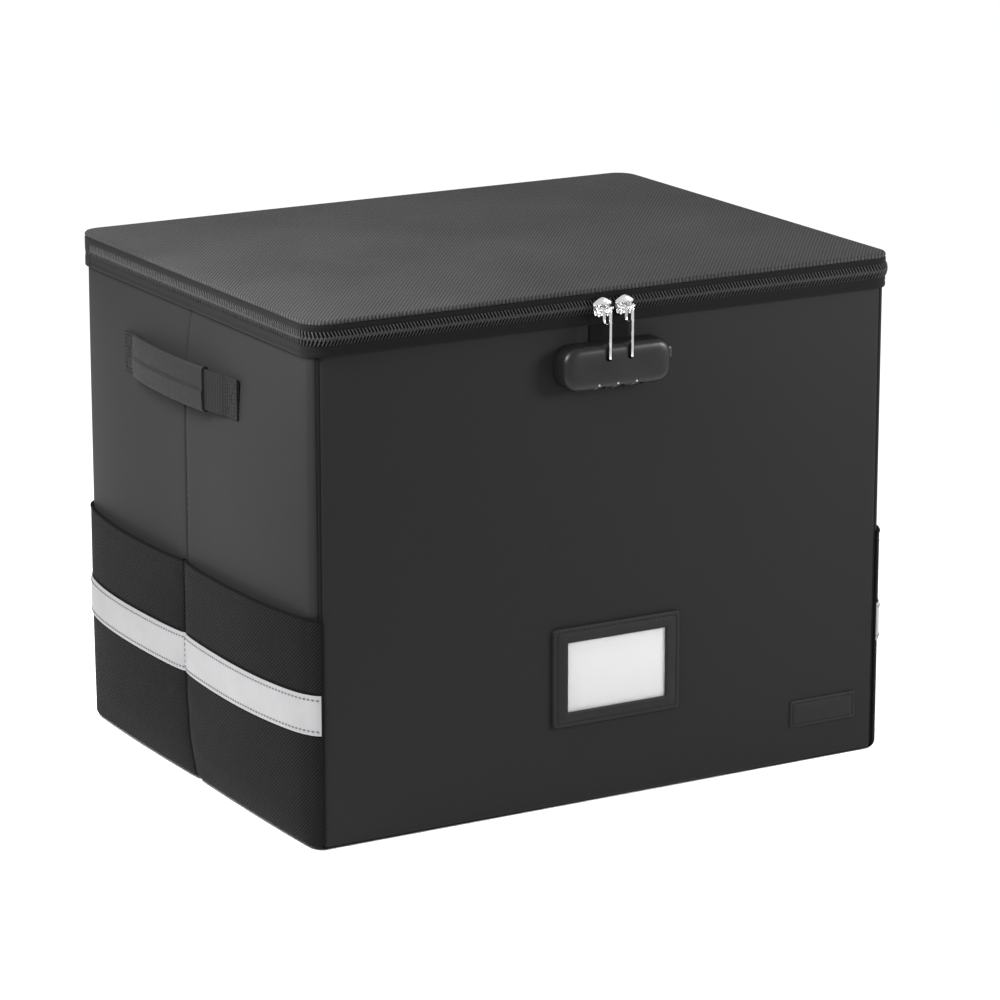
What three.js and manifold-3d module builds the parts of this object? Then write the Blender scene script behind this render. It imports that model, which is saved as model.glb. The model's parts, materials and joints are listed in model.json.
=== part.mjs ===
// Soft-sided fireproof document box: sewn fabric walls over fire boards, a zipped lid hinged at the
// back, side pockets with reflective strips, webbing handles, a label holder and a dial lock.
// Millimetres, +X along the front, +Y to the back, +Z up, origin under the middle of the floor.
import * as THREE from "three";
import Module from "manifold-3d";

const wasm = await Module();
wasm.setup();

// ---- driving dimensions -------------------------------------------------------------------------
const HALF_W = 200;            // half the body's width along the front
const HALF_D = 156;            // half the body's depth
const CORNER_R = 8;            // upright corners of the body
const GAP = 0.3;               // clearance left between sewn or glued layers
const SKIN_T = 1.5;            // coated outer fabric
const BOARD_T = 3.5;           // fire board inside each wall
const LINER_T = 2;             // foil-faced inner lining
const FAR = 400;               // cutting blocks reach past everything
const SEAM_X = 195.7;          // front and back seams, where the side fabric ends
const WALL_TOP = 298.2;        // top edge of the outer fabric
const BOARD_TOP = 295.9;       // top edge of boards and linings

const FLOOR_T = 1.8;           // outer floor fabric
const FLOOR_BOARD_TOP = 5.1;
const FLOOR_LINER_TOP = 7.0;
const BASE_BOARD_TOP = 10.8;   // loose stiffening board on the floor

const BAND_OUT = 3;            // zip band stands proud of the walls by this much
const BAND_T = 3.5;            // folded tape and piping together
const BAND_R = 14;             // upright corners of band and lid
const BAND_Z0 = 298.5;
const ZIP_Z = 309.65;          // line on which the two coils meet
const ZIP_GAP = 0.25;
const COIL_H = 3.2;            // height of one coil row
const COIL_T = 1.9;            // how far the coil stands out of the tape
const ZIP_END_Y = 140;         // the zip stops short of the rear corners
const BAND_Z1 = 317.2;

const LID_TOP = 320.3;
const LID_BOARD_Z = 311.5;
const LID_PAD_Z = 306;
const LID_LINER_Z = 303;
const HINGE_Z = 306.5;         // the hinge fabric bends along this line

const POCKET_TOP = 140;
const POCKET_BULGE = 7.7;      // how far a filled-out compartment stands off the wall
const POCKET_EDGE = 144;       // a compartment ends this far from the middle seam
const STRIP_Z0 = 71.4;         // reflective strip, 24.5 mm wide
const STRIP_Z1 = 95.9;
const STRIP_T = 0.8;

const HANDLE_MID_Y = 5;
const HANDLE_HALF = 78;        // half the strap's length
const HANDLE_SPAN = 64;        // half the free length between the sewn ends
const HANDLE_Z = 257.5;
const HANDLE_BOW = 11;         // the strap stands off the wall by this much
const WEBBING_W = 25;
const WEBBING_T = 2;
const SLEEVE_W = 28;
const SLEEVE_T = 1.8;
const SLEEVE_Y = [-38, 62];

const LOCK_X = -2;             // middle of the lock
const LOCK_Z = 274.5;
const LOCK_HALF_W = 37;
const LOCK_HALF_H = 13.5;
const LOCK_BACK_Y = -156.3;
const LOCK_FACE_Y = -171;
const DIAL_PITCH = 13;
const DIAL_R = 5.6;
const DIAL_W = 9;
const DIAL_Y = -163.6;
const DIAL_Z = 266.2;

const SLIDER_X = [-9.6, 5.6];  // the two zip sliders, meeting over the lock
const PULL_Y = -167.2;         // pivot of a pull on its slider's bridge
const PULL_Z = 309;
const PULL_T = 1.4;            // thickness of a pull, across the front
const BRIDGE_R = 1.2;
const PULL_END_Z = 279.5;

// ---- finishes -----------------------------------------------------------------------------------
function finish(name, color, roughness, metalness = 0) {
  const material = new THREE.MeshStandardMaterial({ color, roughness, metalness });
  material.name = name;
  return material;
}

const coatedFabric = finish("coated_fabric", 0x3d3d3f, 0.75);
const lidFabric = finish("lid_fabric", 0x4c4c4e, 0.8);
const pocketFabric = finish("pocket_fabric", 0x303032, 0.9);
const fireBoard = finish("fire_board", 0xa8a49a, 0.9);
const feltPad = finish("insulation_pad", 0xd8d4c8, 0.95);
const foilLining = finish("foil_lining", 0xb4b6b8, 0.45);
const zipTape = finish("zip_tape", 0x262628, 0.9);
const zipCoil = finish("zip_coil", 0x4a4a4e, 0.5);
const webbing = finish("webbing", 0x1b1b1d, 0.9);
const grain = finish("grained_trim", 0x444446, 0.6);
const reflective = finish("reflective_tape", 0xcfcfd2, 0.4);
const clearFilm = finish("clear_film", 0xf2f4f6, 0.1);
const cardStock = finish("card_stock", 0xf0f0ee, 0.85);
const lockPlastic = finish("lock_plastic", 0x2c2c2e, 0.45);
const dialPlastic = finish("dial_plastic", 0x1c1c1e, 0.5);
const steel = finish("plated_steel", 0xd5d7da, 0.2, 1);

// ---- solids -------------------------------------------------------------------------------------
function toSolid(geometry) {
  const flat = geometry.index ? geometry.toNonIndexed() : geometry;
  const positions = flat.attributes.position.array;
  const keys = new Map();
  const vertices = [];
  const triangles = [];
  for (let i = 0; i < positions.length; i += 3) {
    const point = [positions[i], positions[i + 1], positions[i + 2]];
    const key = point.map((value) => Math.round(value * 1e4)).join(",");
    if (!keys.has(key)) {
      keys.set(key, vertices.length / 3);
      vertices.push(...point);
    }
    triangles.push(keys.get(key));
  }
  const used = [];
  for (let i = 0; i < triangles.length; i += 3) {
    const [a, b, c] = triangles.slice(i, i + 3);
    if (a !== b && b !== c && a !== c) {
      used.push(a, b, c);
    }
  }
  const mesh = new wasm.Mesh({
    numProp: 3,
    vertProperties: new Float32Array(vertices),
    triVerts: new Uint32Array(used),
  });
  return new wasm.Manifold(mesh);
}

function toGeometry(solid) {
  const mesh = solid.getMesh();
  const geometry = new THREE.BufferGeometry();
  geometry.setAttribute("position", new THREE.BufferAttribute(new Float32Array(mesh.vertProperties), 3));
  geometry.setIndex(new THREE.BufferAttribute(new Uint32Array(mesh.triVerts), 1));
  geometry.computeVertexNormals();
  return geometry;
}

function block(x0, x1, y0, y1, z0, z1) {
  const geometry = new THREE.BoxGeometry(x1 - x0, y1 - y0, z1 - z0);
  geometry.translate((x0 + x1) / 2, (y0 + y1) / 2, (z0 + z1) / 2);
  return toSolid(geometry);
}

function polygon(points) {
  return new THREE.Shape(points.map(([x, y]) => new THREE.Vector2(x, y)));
}

// A closed outline with rounded corners, centred on the origin.
function roundedRect(halfX, halfY, r, steps = 6) {
  const points = [];
  const centres = [[1, 1], [-1, 1], [-1, -1], [1, -1]];
  centres.forEach(([sx, sy], corner) => {
    for (let i = 0; i <= steps; i += 1) {
      const angle = (corner + i / steps) * Math.PI / 2;
      points.push([sx * (halfX - r) + r * Math.cos(angle), sy * (halfY - r) + r * Math.sin(angle)]);
    }
  });
  return polygon(points);
}

function prism(shape, z0, z1) {
  const geometry = new THREE.ExtrudeGeometry(shape, { depth: z1 - z0, bevelEnabled: false });
  geometry.translate(0, 0, z0);
  return toSolid(geometry);
}

// A plate standing on the front wall: the outline lies in X and Z, the thickness runs along Y.
function frontPlate(shape, yFront, yBack, bevel = 0) {
  const geometry = new THREE.ExtrudeGeometry(shape, {
    depth: yBack - yFront - 2 * bevel,
    bevelEnabled: bevel > 0,
    bevelThickness: bevel,
    bevelSize: bevel,
    bevelOffset: -bevel,
    bevelSegments: 3,
  });
  geometry.rotateX(Math.PI / 2);
  geometry.translate(0, yBack - bevel, 0);
  return toSolid(geometry);
}

// An upright loop following the body's outline, a given distance outside it.
function loop(outside, thickness, r, z0, z1) {
  const outer = roundedRect(HALF_W + outside, HALF_D + outside, r);
  const inner = roundedRect(HALF_W + outside - thickness, HALF_D + outside - thickness, r - thickness);
  return prism(outer, z0, z1).subtract(prism(inner, z0 - 1, z1 + 1));
}

// A round bar along X.
function barX(x0, x1, y, z, r, sides = 24) {
  const geometry = new THREE.CylinderGeometry(r, r, x1 - x0, sides);
  geometry.rotateZ(Math.PI / 2);
  geometry.translate((x0 + x1) / 2, y, z);
  return toSolid(geometry);
}

function mirrorX(solid) {
  return solid.mirror([1, 0, 0]);
}

const part = new THREE.Group();
part.name = "document_box";

function add(name, solid, material) {
  const mesh = new THREE.Mesh(toGeometry(solid), material);
  mesh.name = name;
  part.add(mesh);
}

// ---- floor --------------------------------------------------------------------------------------
add("floor_skin", prism(roundedRect(HALF_W, HALF_D, CORNER_R), 0, FLOOR_T), coatedFabric);
const INNER_X = HALF_W - SKIN_T - BOARD_T - LINER_T - 2 * GAP;
const INNER_Y = HALF_D - SKIN_T - BOARD_T - LINER_T - 2 * GAP;
const WALL_Z = FLOOR_T + GAP;
const FLOOR_X = 191;           // half sizes of the floor's board and lining
const FLOOR_Y = 147;
const BASE_BOARD_PLAY = 0.5;
function floorLayer(z0, z1) {
  return block(-FLOOR_X, FLOOR_X, -FLOOR_Y, FLOOR_Y, z0, z1);
}
add("floor_board", floorLayer(WALL_Z, FLOOR_BOARD_TOP), fireBoard);
add("floor_liner", floorLayer(FLOOR_BOARD_TOP + GAP, FLOOR_LINER_TOP), foilLining);
const baseBoardOutline = roundedRect(FLOOR_X - BASE_BOARD_PLAY, FLOOR_Y - BASE_BOARD_PLAY, 4, 3);
const baseBoard = prism(baseBoardOutline, FLOOR_LINER_TOP + GAP, BASE_BOARD_TOP);
add("base_board", baseBoard, fireBoard);

// ---- outer fabric -------------------------------------------------------------------------------
const skinLoop = loop(0, SKIN_T, CORNER_R, WALL_Z, WALL_TOP);
const frontSkin = skinLoop.intersect(block(-SEAM_X + GAP, SEAM_X - GAP, -FAR, 0, 0, FAR));
const backSkin = skinLoop.intersect(block(-SEAM_X + GAP, SEAM_X - GAP, 0, FAR, 0, FAR));
const leftSkin = skinLoop.intersect(block(-FAR, -SEAM_X, -FAR, FAR, 0, FAR));
add("front_skin", frontSkin, coatedFabric);
add("back_skin", backSkin, coatedFabric);
add("left_skin", leftSkin, coatedFabric);
add("right_skin", mirrorX(leftSkin), coatedFabric);

// ---- fire boards and lining ---------------------------------------------------------------------
const boardY = HALF_D - SKIN_T - GAP;
const boardX = HALF_W - SKIN_T - GAP;
const FRONT_BOARD_HALF = 193.4;
const SIDE_BOARD_END = 147;
const FOLD_HALF = 0.6;         // each side wall folds inwards on its middle line
add("front_board",
  block(-FRONT_BOARD_HALF, FRONT_BOARD_HALF, -boardY, -boardY + BOARD_T, WALL_Z, BOARD_TOP), fireBoard);
add("back_board",
  block(-FRONT_BOARD_HALF, FRONT_BOARD_HALF, boardY - BOARD_T, boardY, WALL_Z, BOARD_TOP), fireBoard);
const sideBoardFront = block(-boardX, -boardX + BOARD_T, -SIDE_BOARD_END, -FOLD_HALF, WALL_Z, BOARD_TOP);
const sideBoardRear = block(-boardX, -boardX + BOARD_T, FOLD_HALF, SIDE_BOARD_END, WALL_Z, BOARD_TOP);
add("left_board_front", sideBoardFront, fireBoard);
add("left_board_rear", sideBoardRear, fireBoard);
add("right_board_front", mirrorX(sideBoardFront), fireBoard);
add("right_board_rear", mirrorX(sideBoardRear), fireBoard);

const frontLiner = block(-INNER_X + GAP, INNER_X - GAP, -INNER_Y - LINER_T, -INNER_Y, WALL_Z, BOARD_TOP);
const backLiner = block(-INNER_X + GAP, INNER_X - GAP, INNER_Y, INNER_Y + LINER_T, WALL_Z, BOARD_TOP);
const sideLiner = block(-INNER_X - LINER_T, -INNER_X, -INNER_Y + GAP, INNER_Y - GAP, WALL_Z, BOARD_TOP);
add("front_liner", frontLiner, foilLining);
add("back_liner", backLiner, foilLining);
add("left_liner", sideLiner, foilLining);
add("right_liner", mirrorX(sideLiner), foilLining);
const mouth = prism(roundedRect(boardX, boardY, CORNER_R - SKIN_T), BOARD_TOP + GAP, WALL_TOP)
  .subtract(prism(roundedRect(INNER_X, INNER_Y, 2, 2), 0, FAR));
add("rim_binding", mouth, zipTape);

// ---- zip band and lid ---------------------------------------------------------------------------
const lowerBand = loop(BAND_OUT, BAND_T, BAND_R, BAND_Z0, ZIP_Z - ZIP_GAP);
const upperBand = loop(BAND_OUT, BAND_T, BAND_R, ZIP_Z + ZIP_GAP, BAND_Z1);
const zipSide = block(-FAR, FAR, -FAR, ZIP_END_Y, 0, FAR);
const lowerHingeZone = block(-FAR, FAR, ZIP_END_Y + GAP, FAR, 0, HINGE_Z - GAP);
const upperHingeZone = block(-FAR, FAR, ZIP_END_Y + GAP, FAR, HINGE_Z + GAP, FAR);
const hingeLoop = loop(BAND_OUT, BAND_T, BAND_R, BAND_Z0, BAND_Z1);
add("lower_zip_tape", lowerBand.intersect(zipSide), zipTape);
add("hinge_tape_lower", hingeLoop.intersect(lowerHingeZone), zipTape);
add("upper_zip_tape", upperBand.intersect(zipSide), zipTape);
add("hinge_tape_upper", hingeLoop.intersect(upperHingeZone), zipTape);
const coilOutside = BAND_OUT + GAP + COIL_T;
const coilR = BAND_R + GAP + COIL_T;
const lowerCoil = loop(coilOutside, COIL_T, coilR, ZIP_Z - ZIP_GAP - COIL_H, ZIP_Z - ZIP_GAP);
const upperCoil = loop(coilOutside, COIL_T, coilR, ZIP_Z + ZIP_GAP, ZIP_Z + ZIP_GAP + COIL_H);
add("lower_zip_coil", lowerCoil.intersect(zipSide), zipCoil);
add("upper_zip_coil", upperCoil.intersect(zipSide), zipCoil);

const LID_EDGE = 1.2;          // rolled top edge of the lid
const lidOutline = roundedRect(HALF_W + BAND_OUT, HALF_D + BAND_OUT, BAND_R);
const lidGeometry = new THREE.ExtrudeGeometry(lidOutline, {
  depth: LID_TOP - BAND_Z1 - GAP - 2 * LID_EDGE,
  bevelEnabled: true,
  bevelThickness: LID_EDGE,
  bevelSize: LID_EDGE,
  bevelOffset: -LID_EDGE,
  bevelSegments: 3,
});
lidGeometry.translate(0, 0, BAND_Z1 + GAP + LID_EDGE);
add("lid_skin", toSolid(lidGeometry), lidFabric);
const LID_BOARD_INSET = 0.8;   // board, pad and lining step inwards from the band
const LID_PAD_INSET = 4;
const LID_LINER_INSET = 7;
const insideBand = HALF_W + BAND_OUT - BAND_T;
const insideBandY = HALF_D + BAND_OUT - BAND_T;
function lidLayer(inset, z0, z1) {
  return prism(roundedRect(insideBand - inset, insideBandY - inset, 8, 4), z0, z1);
}
add("lid_board", lidLayer(LID_BOARD_INSET, LID_BOARD_Z, BAND_Z1), fireBoard);
add("lid_pad", lidLayer(LID_PAD_INSET, LID_PAD_Z, LID_BOARD_Z - GAP), feltPad);
add("lid_liner", lidLayer(LID_LINER_INSET, LID_LINER_Z, LID_PAD_Z - GAP), foilLining);

// ---- side pockets and reflective strips ---------------------------------------------------------
const pocketWall = HALF_W + GAP;
const BULGE_STEPS = 14;

// One compartment's bulge seen from above, between two distances from the middle seam.
function bulge(near, far, offset, sign) {
  const points = [[-(HALF_W - 2), sign * near]];
  for (let i = 0; i <= BULGE_STEPS; i += 1) {
    const t = i / BULGE_STEPS;
    const out = POCKET_BULGE * Math.sin(Math.PI * t) ** 0.5;
    points.push([-(pocketWall + SKIN_T + out + offset), sign * (near + (far - near) * t)]);
  }
  points.push([-(HALF_W - 2), sign * far]);
  return polygon(sign > 0 ? points : points.reverse());
}

const POCKET_SEAM = 1;         // bare seam between the two compartments
const POCKET_FLOOR = 4.2;      // top of the sewn-up bottom of a compartment
const HEM = 8;                 // flat sewn margin round a compartment's space
function pocket(sign) {
  const zone = sign > 0 ? block(-FAR, -SEAM_X, POCKET_SEAM, FAR, 0, FAR)
    : block(-FAR, -SEAM_X, -FAR, -POCKET_SEAM, 0, FAR);
  const wrap = loop(GAP + SKIN_T, SKIN_T, CORNER_R + GAP + SKIN_T, WALL_Z, POCKET_TOP).intersect(zone);
  const swell = prism(bulge(POCKET_SEAM, POCKET_EDGE, 0, sign), WALL_Z, POCKET_TOP);
  const space = prism(bulge(POCKET_SEAM + HEM, POCKET_EDGE - HEM, -SKIN_T, sign), POCKET_FLOOR, FAR);
  const wall = block(-pocketWall, 0, -FAR, FAR, 0, FAR);
  return wrap.add(swell.subtract(wall)).subtract(space);
}

function pocketBody(offset) {
  const r = CORNER_R + GAP + SKIN_T + offset;
  const size = GAP + SKIN_T + offset;
  return prism(roundedRect(HALF_W + size, HALF_D + size, r), STRIP_Z0, STRIP_Z1)
    .add(prism(bulge(POCKET_SEAM, POCKET_EDGE, offset, 1), STRIP_Z0, STRIP_Z1))
    .add(prism(bulge(POCKET_SEAM, POCKET_EDGE, offset, -1), STRIP_Z0, STRIP_Z1));
}

const strip = pocketBody(GAP + STRIP_T).subtract(pocketBody(GAP))
  .intersect(block(-FAR, -SEAM_X, -FAR, FAR, 0, FAR));
add("left_pocket_front", pocket(-1), pocketFabric);
add("left_pocket_rear", pocket(1), pocketFabric);
add("right_pocket_front", mirrorX(pocket(-1)), pocketFabric);
add("right_pocket_rear", mirrorX(pocket(1)), pocketFabric);
add("left_reflective_strip", strip, reflective);
add("right_reflective_strip", mirrorX(strip), reflective);

// ---- handles ------------------------------------------------------------------------------------
const STRAP_STEPS = 26;
function strapOff(y) {
  const u = Math.abs(y - HANDLE_MID_Y) / HANDLE_SPAN;
  return u < 1 ? HANDLE_BOW * Math.cos(Math.PI * u / 2) ** 0.6 : 0;
}

// The strap's outline seen from above, grown by a margin on both faces.
function strapOutline(y0, y1, margin) {
  const inside = [];
  const outside = [];
  for (let i = 0; i <= STRAP_STEPS; i += 1) {
    const y = y0 + (y1 - y0) * i / STRAP_STEPS;
    const x = HALF_W + GAP + strapOff(y);
    inside.push([-(x - margin), y]);
    outside.push([-(x + WEBBING_T + margin), y]);
  }
  return polygon(inside.concat(outside.reverse()));
}

function upright(outline, width) {
  return prism(outline, HANDLE_Z - width / 2, HANDLE_Z + width / 2);
}

const strapEnds = [HANDLE_MID_Y - HANDLE_HALF, HANDLE_MID_Y + HANDLE_HALF];
const strap = upright(strapOutline(strapEnds[0], strapEnds[1], 0), WEBBING_W);
const TUNNEL_OVERRUN = 4;      // the cut for the strap runs on past the sleeve's ends
const tunnel = upright(
  strapOutline(SLEEVE_Y[0] - TUNNEL_OVERRUN, SLEEVE_Y[1] + TUNNEL_OVERRUN, GAP), WEBBING_W + 2 * GAP);
const sleeve = upright(strapOutline(SLEEVE_Y[0], SLEEVE_Y[1], SLEEVE_T), SLEEVE_W).subtract(tunnel);
add("left_handle_strap", strap, webbing);
add("left_handle_sleeve", sleeve, grain);
add("right_handle_strap", mirrorX(strap), webbing);
add("right_handle_sleeve", mirrorX(sleeve), grain);

// ---- label holder and blank patch ---------------------------------------------------------------
const LABEL = { x0: -39.8, x1: 49.8, z0: 50.7, z1: 113 };
const WINDOW = { x0: -29.5, x1: 40.3, z0: 59.5, z1: 103.8 };
const FRAME_Y = -HALF_D - GAP;
const FRAME_T = 2.6;
const CARD = { x0: -33.2, x1: 44, z0: 56.3, z1: 112.5 };
const CARD_T = 0.4;            // thickness of the card and of the clear film before it
const POCKET_DEPTH = 1.3;      // the card's slot, open at the top
const frame = block(LABEL.x0, LABEL.x1, FRAME_Y - FRAME_T, FRAME_Y, LABEL.z0, LABEL.z1)
  .subtract(block(WINDOW.x0, WINDOW.x1, -FAR, 0, WINDOW.z0, WINDOW.z1))
  .subtract(block(CARD.x0 - GAP, CARD.x1 + GAP, FRAME_Y - POCKET_DEPTH, 0, CARD.z0 - GAP, FAR));
add("label_frame", frame, grain);
const cardY = FRAME_Y - 0.1;
const filmY = cardY - CARD_T - GAP;
add("label_card", block(CARD.x0, CARD.x1, cardY - CARD_T, cardY, CARD.z0, CARD.z1), cardStock);
add("label_window", block(CARD.x0, CARD.x1, filmY - CARD_T, filmY, CARD.z0, CARD.z1), clearFilm);
const PATCH = { x: 157.2, z: 32, halfW: 24.4, halfH: 8.7, t: 1.1 };
const patch = frontPlate(roundedRect(PATCH.halfW, PATCH.halfH, 1.2, 2), FRAME_Y - PATCH.t, FRAME_Y, 0.3)
  .translate([PATCH.x, 0, PATCH.z]);
add("blank_patch", patch, grain);

// ---- lock ---------------------------------------------------------------------------------------
const CASE_R = 9;
const CASE_BEVEL = 3;
const PLATE_T = 1.2;           // steel back plate between the case and the wall
const MIDDLE_DIAL_X = LOCK_X - 1;
const BAY_HALF = 20.5;         // half the length of the bay that holds the dials
const FIT = 0.4;               // clearance round moving parts inside the case
const caseShape = roundedRect(LOCK_HALF_W, LOCK_HALF_H, CASE_R, 6);
const caseSolid = frontPlate(caseShape, LOCK_FACE_Y, LOCK_BACK_Y + CASE_BEVEL, CASE_BEVEL)
  .translate([LOCK_X, 0, LOCK_Z])
  .intersect(block(-FAR, FAR, -FAR, LOCK_BACK_Y - PLATE_T - GAP, 0, FAR));
const dialBay = block(MIDDLE_DIAL_X - BAY_HALF, MIDDLE_DIAL_X + BAY_HALF,
  DIAL_Y - DIAL_R - FIT, DIAL_Y + DIAL_R + FIT, 0, DIAL_Z + DIAL_R + 0.6);
const LATCH = { x0: -24, x1: 30.6, y0: -167, y1: -163, z0: 276.4, z1: 280.4 };
const LATCH_TRAVEL = 3.4;
const BUTTON_END = 1.7;        // the button laps over the latch bar's end by this much
const BUTTON_RUN = 3.8;        // the button's hole runs on behind it, for its travel
const BUTTON_GROW = 0.9;       // the button is thicker than the latch bar by this much each way
const latchBay = block(LATCH.x0 - LATCH_TRAVEL - FIT, LATCH.x1 + FIT, LATCH.y0 - FIT, 0,
  LATCH.z0 - FIT, LATCH.z1 + FIT);
const buttonHole = block(LATCH.x1 - BUTTON_RUN - BUTTON_END, FAR,
  LATCH.y0 - BUTTON_GROW - GAP, LATCH.y1 + BUTTON_GROW + GAP,
  LATCH.z0 - BUTTON_GROW - 1 - GAP, LATCH.z1 + BUTTON_GROW + 1 + GAP);
const PULL_SLOT_HALF = 2.4;
const PULL_SLOT_DEPTH = 2.2;
let lockCase = caseSolid.subtract(dialBay).subtract(latchBay).subtract(buttonHole);
SLIDER_X.forEach((x) => {
  lockCase = lockCase.subtract(
    block(x - PULL_SLOT_HALF, x + PULL_SLOT_HALF,
      -FAR, LOCK_FACE_Y + PULL_SLOT_DEPTH, PULL_END_Z - 1.5, FAR),
  );
});
add("lock_case", lockCase, lockPlastic);
const plateShape = roundedRect(LOCK_HALF_W - 1, LOCK_HALF_H - 1, CASE_R - 1, 6);
const backPlate = frontPlate(plateShape, LOCK_BACK_Y - PLATE_T, LOCK_BACK_Y).translate([LOCK_X, 0, LOCK_Z]);
add("lock_back_plate", backPlate, steel);
const latchBar = block(LATCH.x0, LATCH.x1 - BUTTON_END - GAP, LATCH.y0, LATCH.y1, LATCH.z0, LATCH.z1);
add("latch_bar", latchBar, steel);
const BUTTON_PROUD = 1.6;
const button = block(LATCH.x1 - BUTTON_END, LOCK_X + LOCK_HALF_W + BUTTON_PROUD,
  LATCH.y0 - BUTTON_GROW, LATCH.y1 + BUTTON_GROW, LATCH.z0 - BUTTON_GROW - 1, LATCH.z1 + BUTTON_GROW + 1);
add("release_button", button, dialPlastic);
const AXLE_R = 1.2;
const BORE_R = 1.55;
add("dial_axle",
  barX(MIDDLE_DIAL_X - BAY_HALF + GAP, MIDDLE_DIAL_X + BAY_HALF - GAP, DIAL_Y, DIAL_Z, AXLE_R), steel);
const dialX = [-1, 0, 1].map((step) => MIDDLE_DIAL_X + step * DIAL_PITCH);
["left", "middle", "right"].forEach((place, i) => {
  const wheel = barX(dialX[i] - DIAL_W / 2, dialX[i] + DIAL_W / 2, DIAL_Y, DIAL_Z, DIAL_R, 30);
  const bore = barX(dialX[i] - DIAL_W, dialX[i] + DIAL_W, DIAL_Y, DIAL_Z, BORE_R);
  add(`dial_${place}`, wheel.subtract(bore), dialPlastic);
});

// ---- zip sliders and pulls ----------------------------------------------------------------------
const SLIDER_BACK_Y = -HALF_D - coilOutside - GAP;
const SLIDER_FRONT_Y = SLIDER_BACK_Y - 2;
const BRIDGE_HALF = 5.2;
const FOOT_W = 1.8;            // the bridge stands on a foot at each end
function sliderSolid(x) {
  const outline = polygon([[-4.2, -5.9], [4.2, -5.9], [6.6, -3.2], [6.6, 3.4], [3.4, 6.3], [-3.4, 6.3],
    [-6.6, 3.4], [-6.6, -3.2]]);
  const plate = frontPlate(outline, SLIDER_FRONT_Y, SLIDER_BACK_Y, 0.5).translate([x, 0, PULL_Z]);
  const foot = block(x - BRIDGE_HALF, x - BRIDGE_HALF + FOOT_W, PULL_Y, SLIDER_FRONT_Y + 0.8,
    PULL_Z - 1.1, PULL_Z + 1.1);
  const otherFoot = foot.translate([2 * BRIDGE_HALF - FOOT_W, 0, 0]);
  const bridge = barX(x - BRIDGE_HALF, x + BRIDGE_HALF, PULL_Y, PULL_Z, BRIDGE_R, 16);
  return plate.add(foot).add(otherFoot).add(bridge);
}

// A pull is a flat plate hanging edge-on to the front: an eye round the bridge, then a long tongue.
const EYE_R = 3.1;
const EYE_HOLE_R = 1.6;
function pullSolid(x) {
  const outline = [];
  for (let i = 0; i <= 10; i += 1) {
    const angle = Math.PI * i / 10;
    outline.push([EYE_R * Math.cos(angle), EYE_R * Math.sin(angle)]);
  }
  outline.push([-5.9, -7.5], [-5.9, PULL_END_Z - PULL_Z], [-4.2, PULL_END_Z - PULL_Z], [-4, -10.4],
    [0.6, -9], [2.5, -7]);
  const shape = polygon(outline);
  const hole = [];
  for (let i = 0; i <= 8; i += 1) {
    const angle = Math.PI * i / 8;
    hole.push([EYE_HOLE_R * Math.cos(angle), EYE_HOLE_R * Math.sin(angle)]);
  }
  hole.push([-1.9, -5.6], [-1, -6.8], [0.6, -6.6], [1.3, -5.4]);
  shape.holes.push(polygon(hole));
  const geometry = new THREE.ExtrudeGeometry(shape, { depth: PULL_T, bevelEnabled: false });
  geometry.applyMatrix4(new THREE.Matrix4().makeBasis(
    new THREE.Vector3(0, 1, 0), new THREE.Vector3(0, 0, 1), new THREE.Vector3(1, 0, 0),
  ));
  geometry.translate(x - PULL_T / 2, PULL_Y, PULL_Z);
  return toSolid(geometry);
}

["left", "right"].forEach((place, i) => {
  add(`slider_${place}`, sliderSolid(SLIDER_X[i]), steel);
  add(`pull_${place}`, pullSolid(SLIDER_X[i]), steel);
});

export default part;
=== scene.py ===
import json
import math

import bmesh
import bpy
from mathutils import Matrix, Vector


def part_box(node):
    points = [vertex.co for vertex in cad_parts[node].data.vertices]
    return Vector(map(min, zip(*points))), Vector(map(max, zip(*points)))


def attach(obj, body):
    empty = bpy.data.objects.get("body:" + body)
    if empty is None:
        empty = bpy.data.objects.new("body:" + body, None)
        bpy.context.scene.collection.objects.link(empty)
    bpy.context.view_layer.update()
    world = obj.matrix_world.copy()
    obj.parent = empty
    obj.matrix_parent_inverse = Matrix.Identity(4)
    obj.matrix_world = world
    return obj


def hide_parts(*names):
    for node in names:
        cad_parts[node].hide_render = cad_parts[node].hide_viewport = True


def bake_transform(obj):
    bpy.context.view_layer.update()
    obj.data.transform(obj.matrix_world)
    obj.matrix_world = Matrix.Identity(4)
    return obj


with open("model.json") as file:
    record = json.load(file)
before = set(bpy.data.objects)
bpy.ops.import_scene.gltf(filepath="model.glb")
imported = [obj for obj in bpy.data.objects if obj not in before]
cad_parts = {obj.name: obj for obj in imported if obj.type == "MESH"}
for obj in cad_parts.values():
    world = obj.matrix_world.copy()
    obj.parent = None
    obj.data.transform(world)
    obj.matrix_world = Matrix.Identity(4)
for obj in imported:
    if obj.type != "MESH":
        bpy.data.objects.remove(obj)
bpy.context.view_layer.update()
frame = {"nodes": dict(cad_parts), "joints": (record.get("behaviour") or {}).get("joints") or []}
MM = 0.001

# ---- Studio -------------------------------------------------------------------------------------
# The box stands on a pale sweep of paper under one broad soft light from the upper left, with a
# weaker panel on the front. The camera is a long lens at standing height off the left front corner.
CAMERA_AT = Vector((-1.3068, -2.3014, 0.8539))
CAMERA_TURN = 0.521
CAMERA_TILT = 0.259
camera_data = bpy.data.cameras.new("studio_camera")
camera_data.sensor_width = 36
camera_data.lens = 155.5
camera_data.clip_end = 60
camera = bpy.data.objects.new("studio_camera", camera_data)
camera.location = CAMERA_AT
camera.rotation_euler = (math.pi / 2 - CAMERA_TILT, 0, -CAMERA_TURN)
bpy.context.scene.collection.objects.link(camera)
bpy.context.scene.camera = camera
bpy.context.scene.view_settings.view_transform = "Standard"

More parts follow.
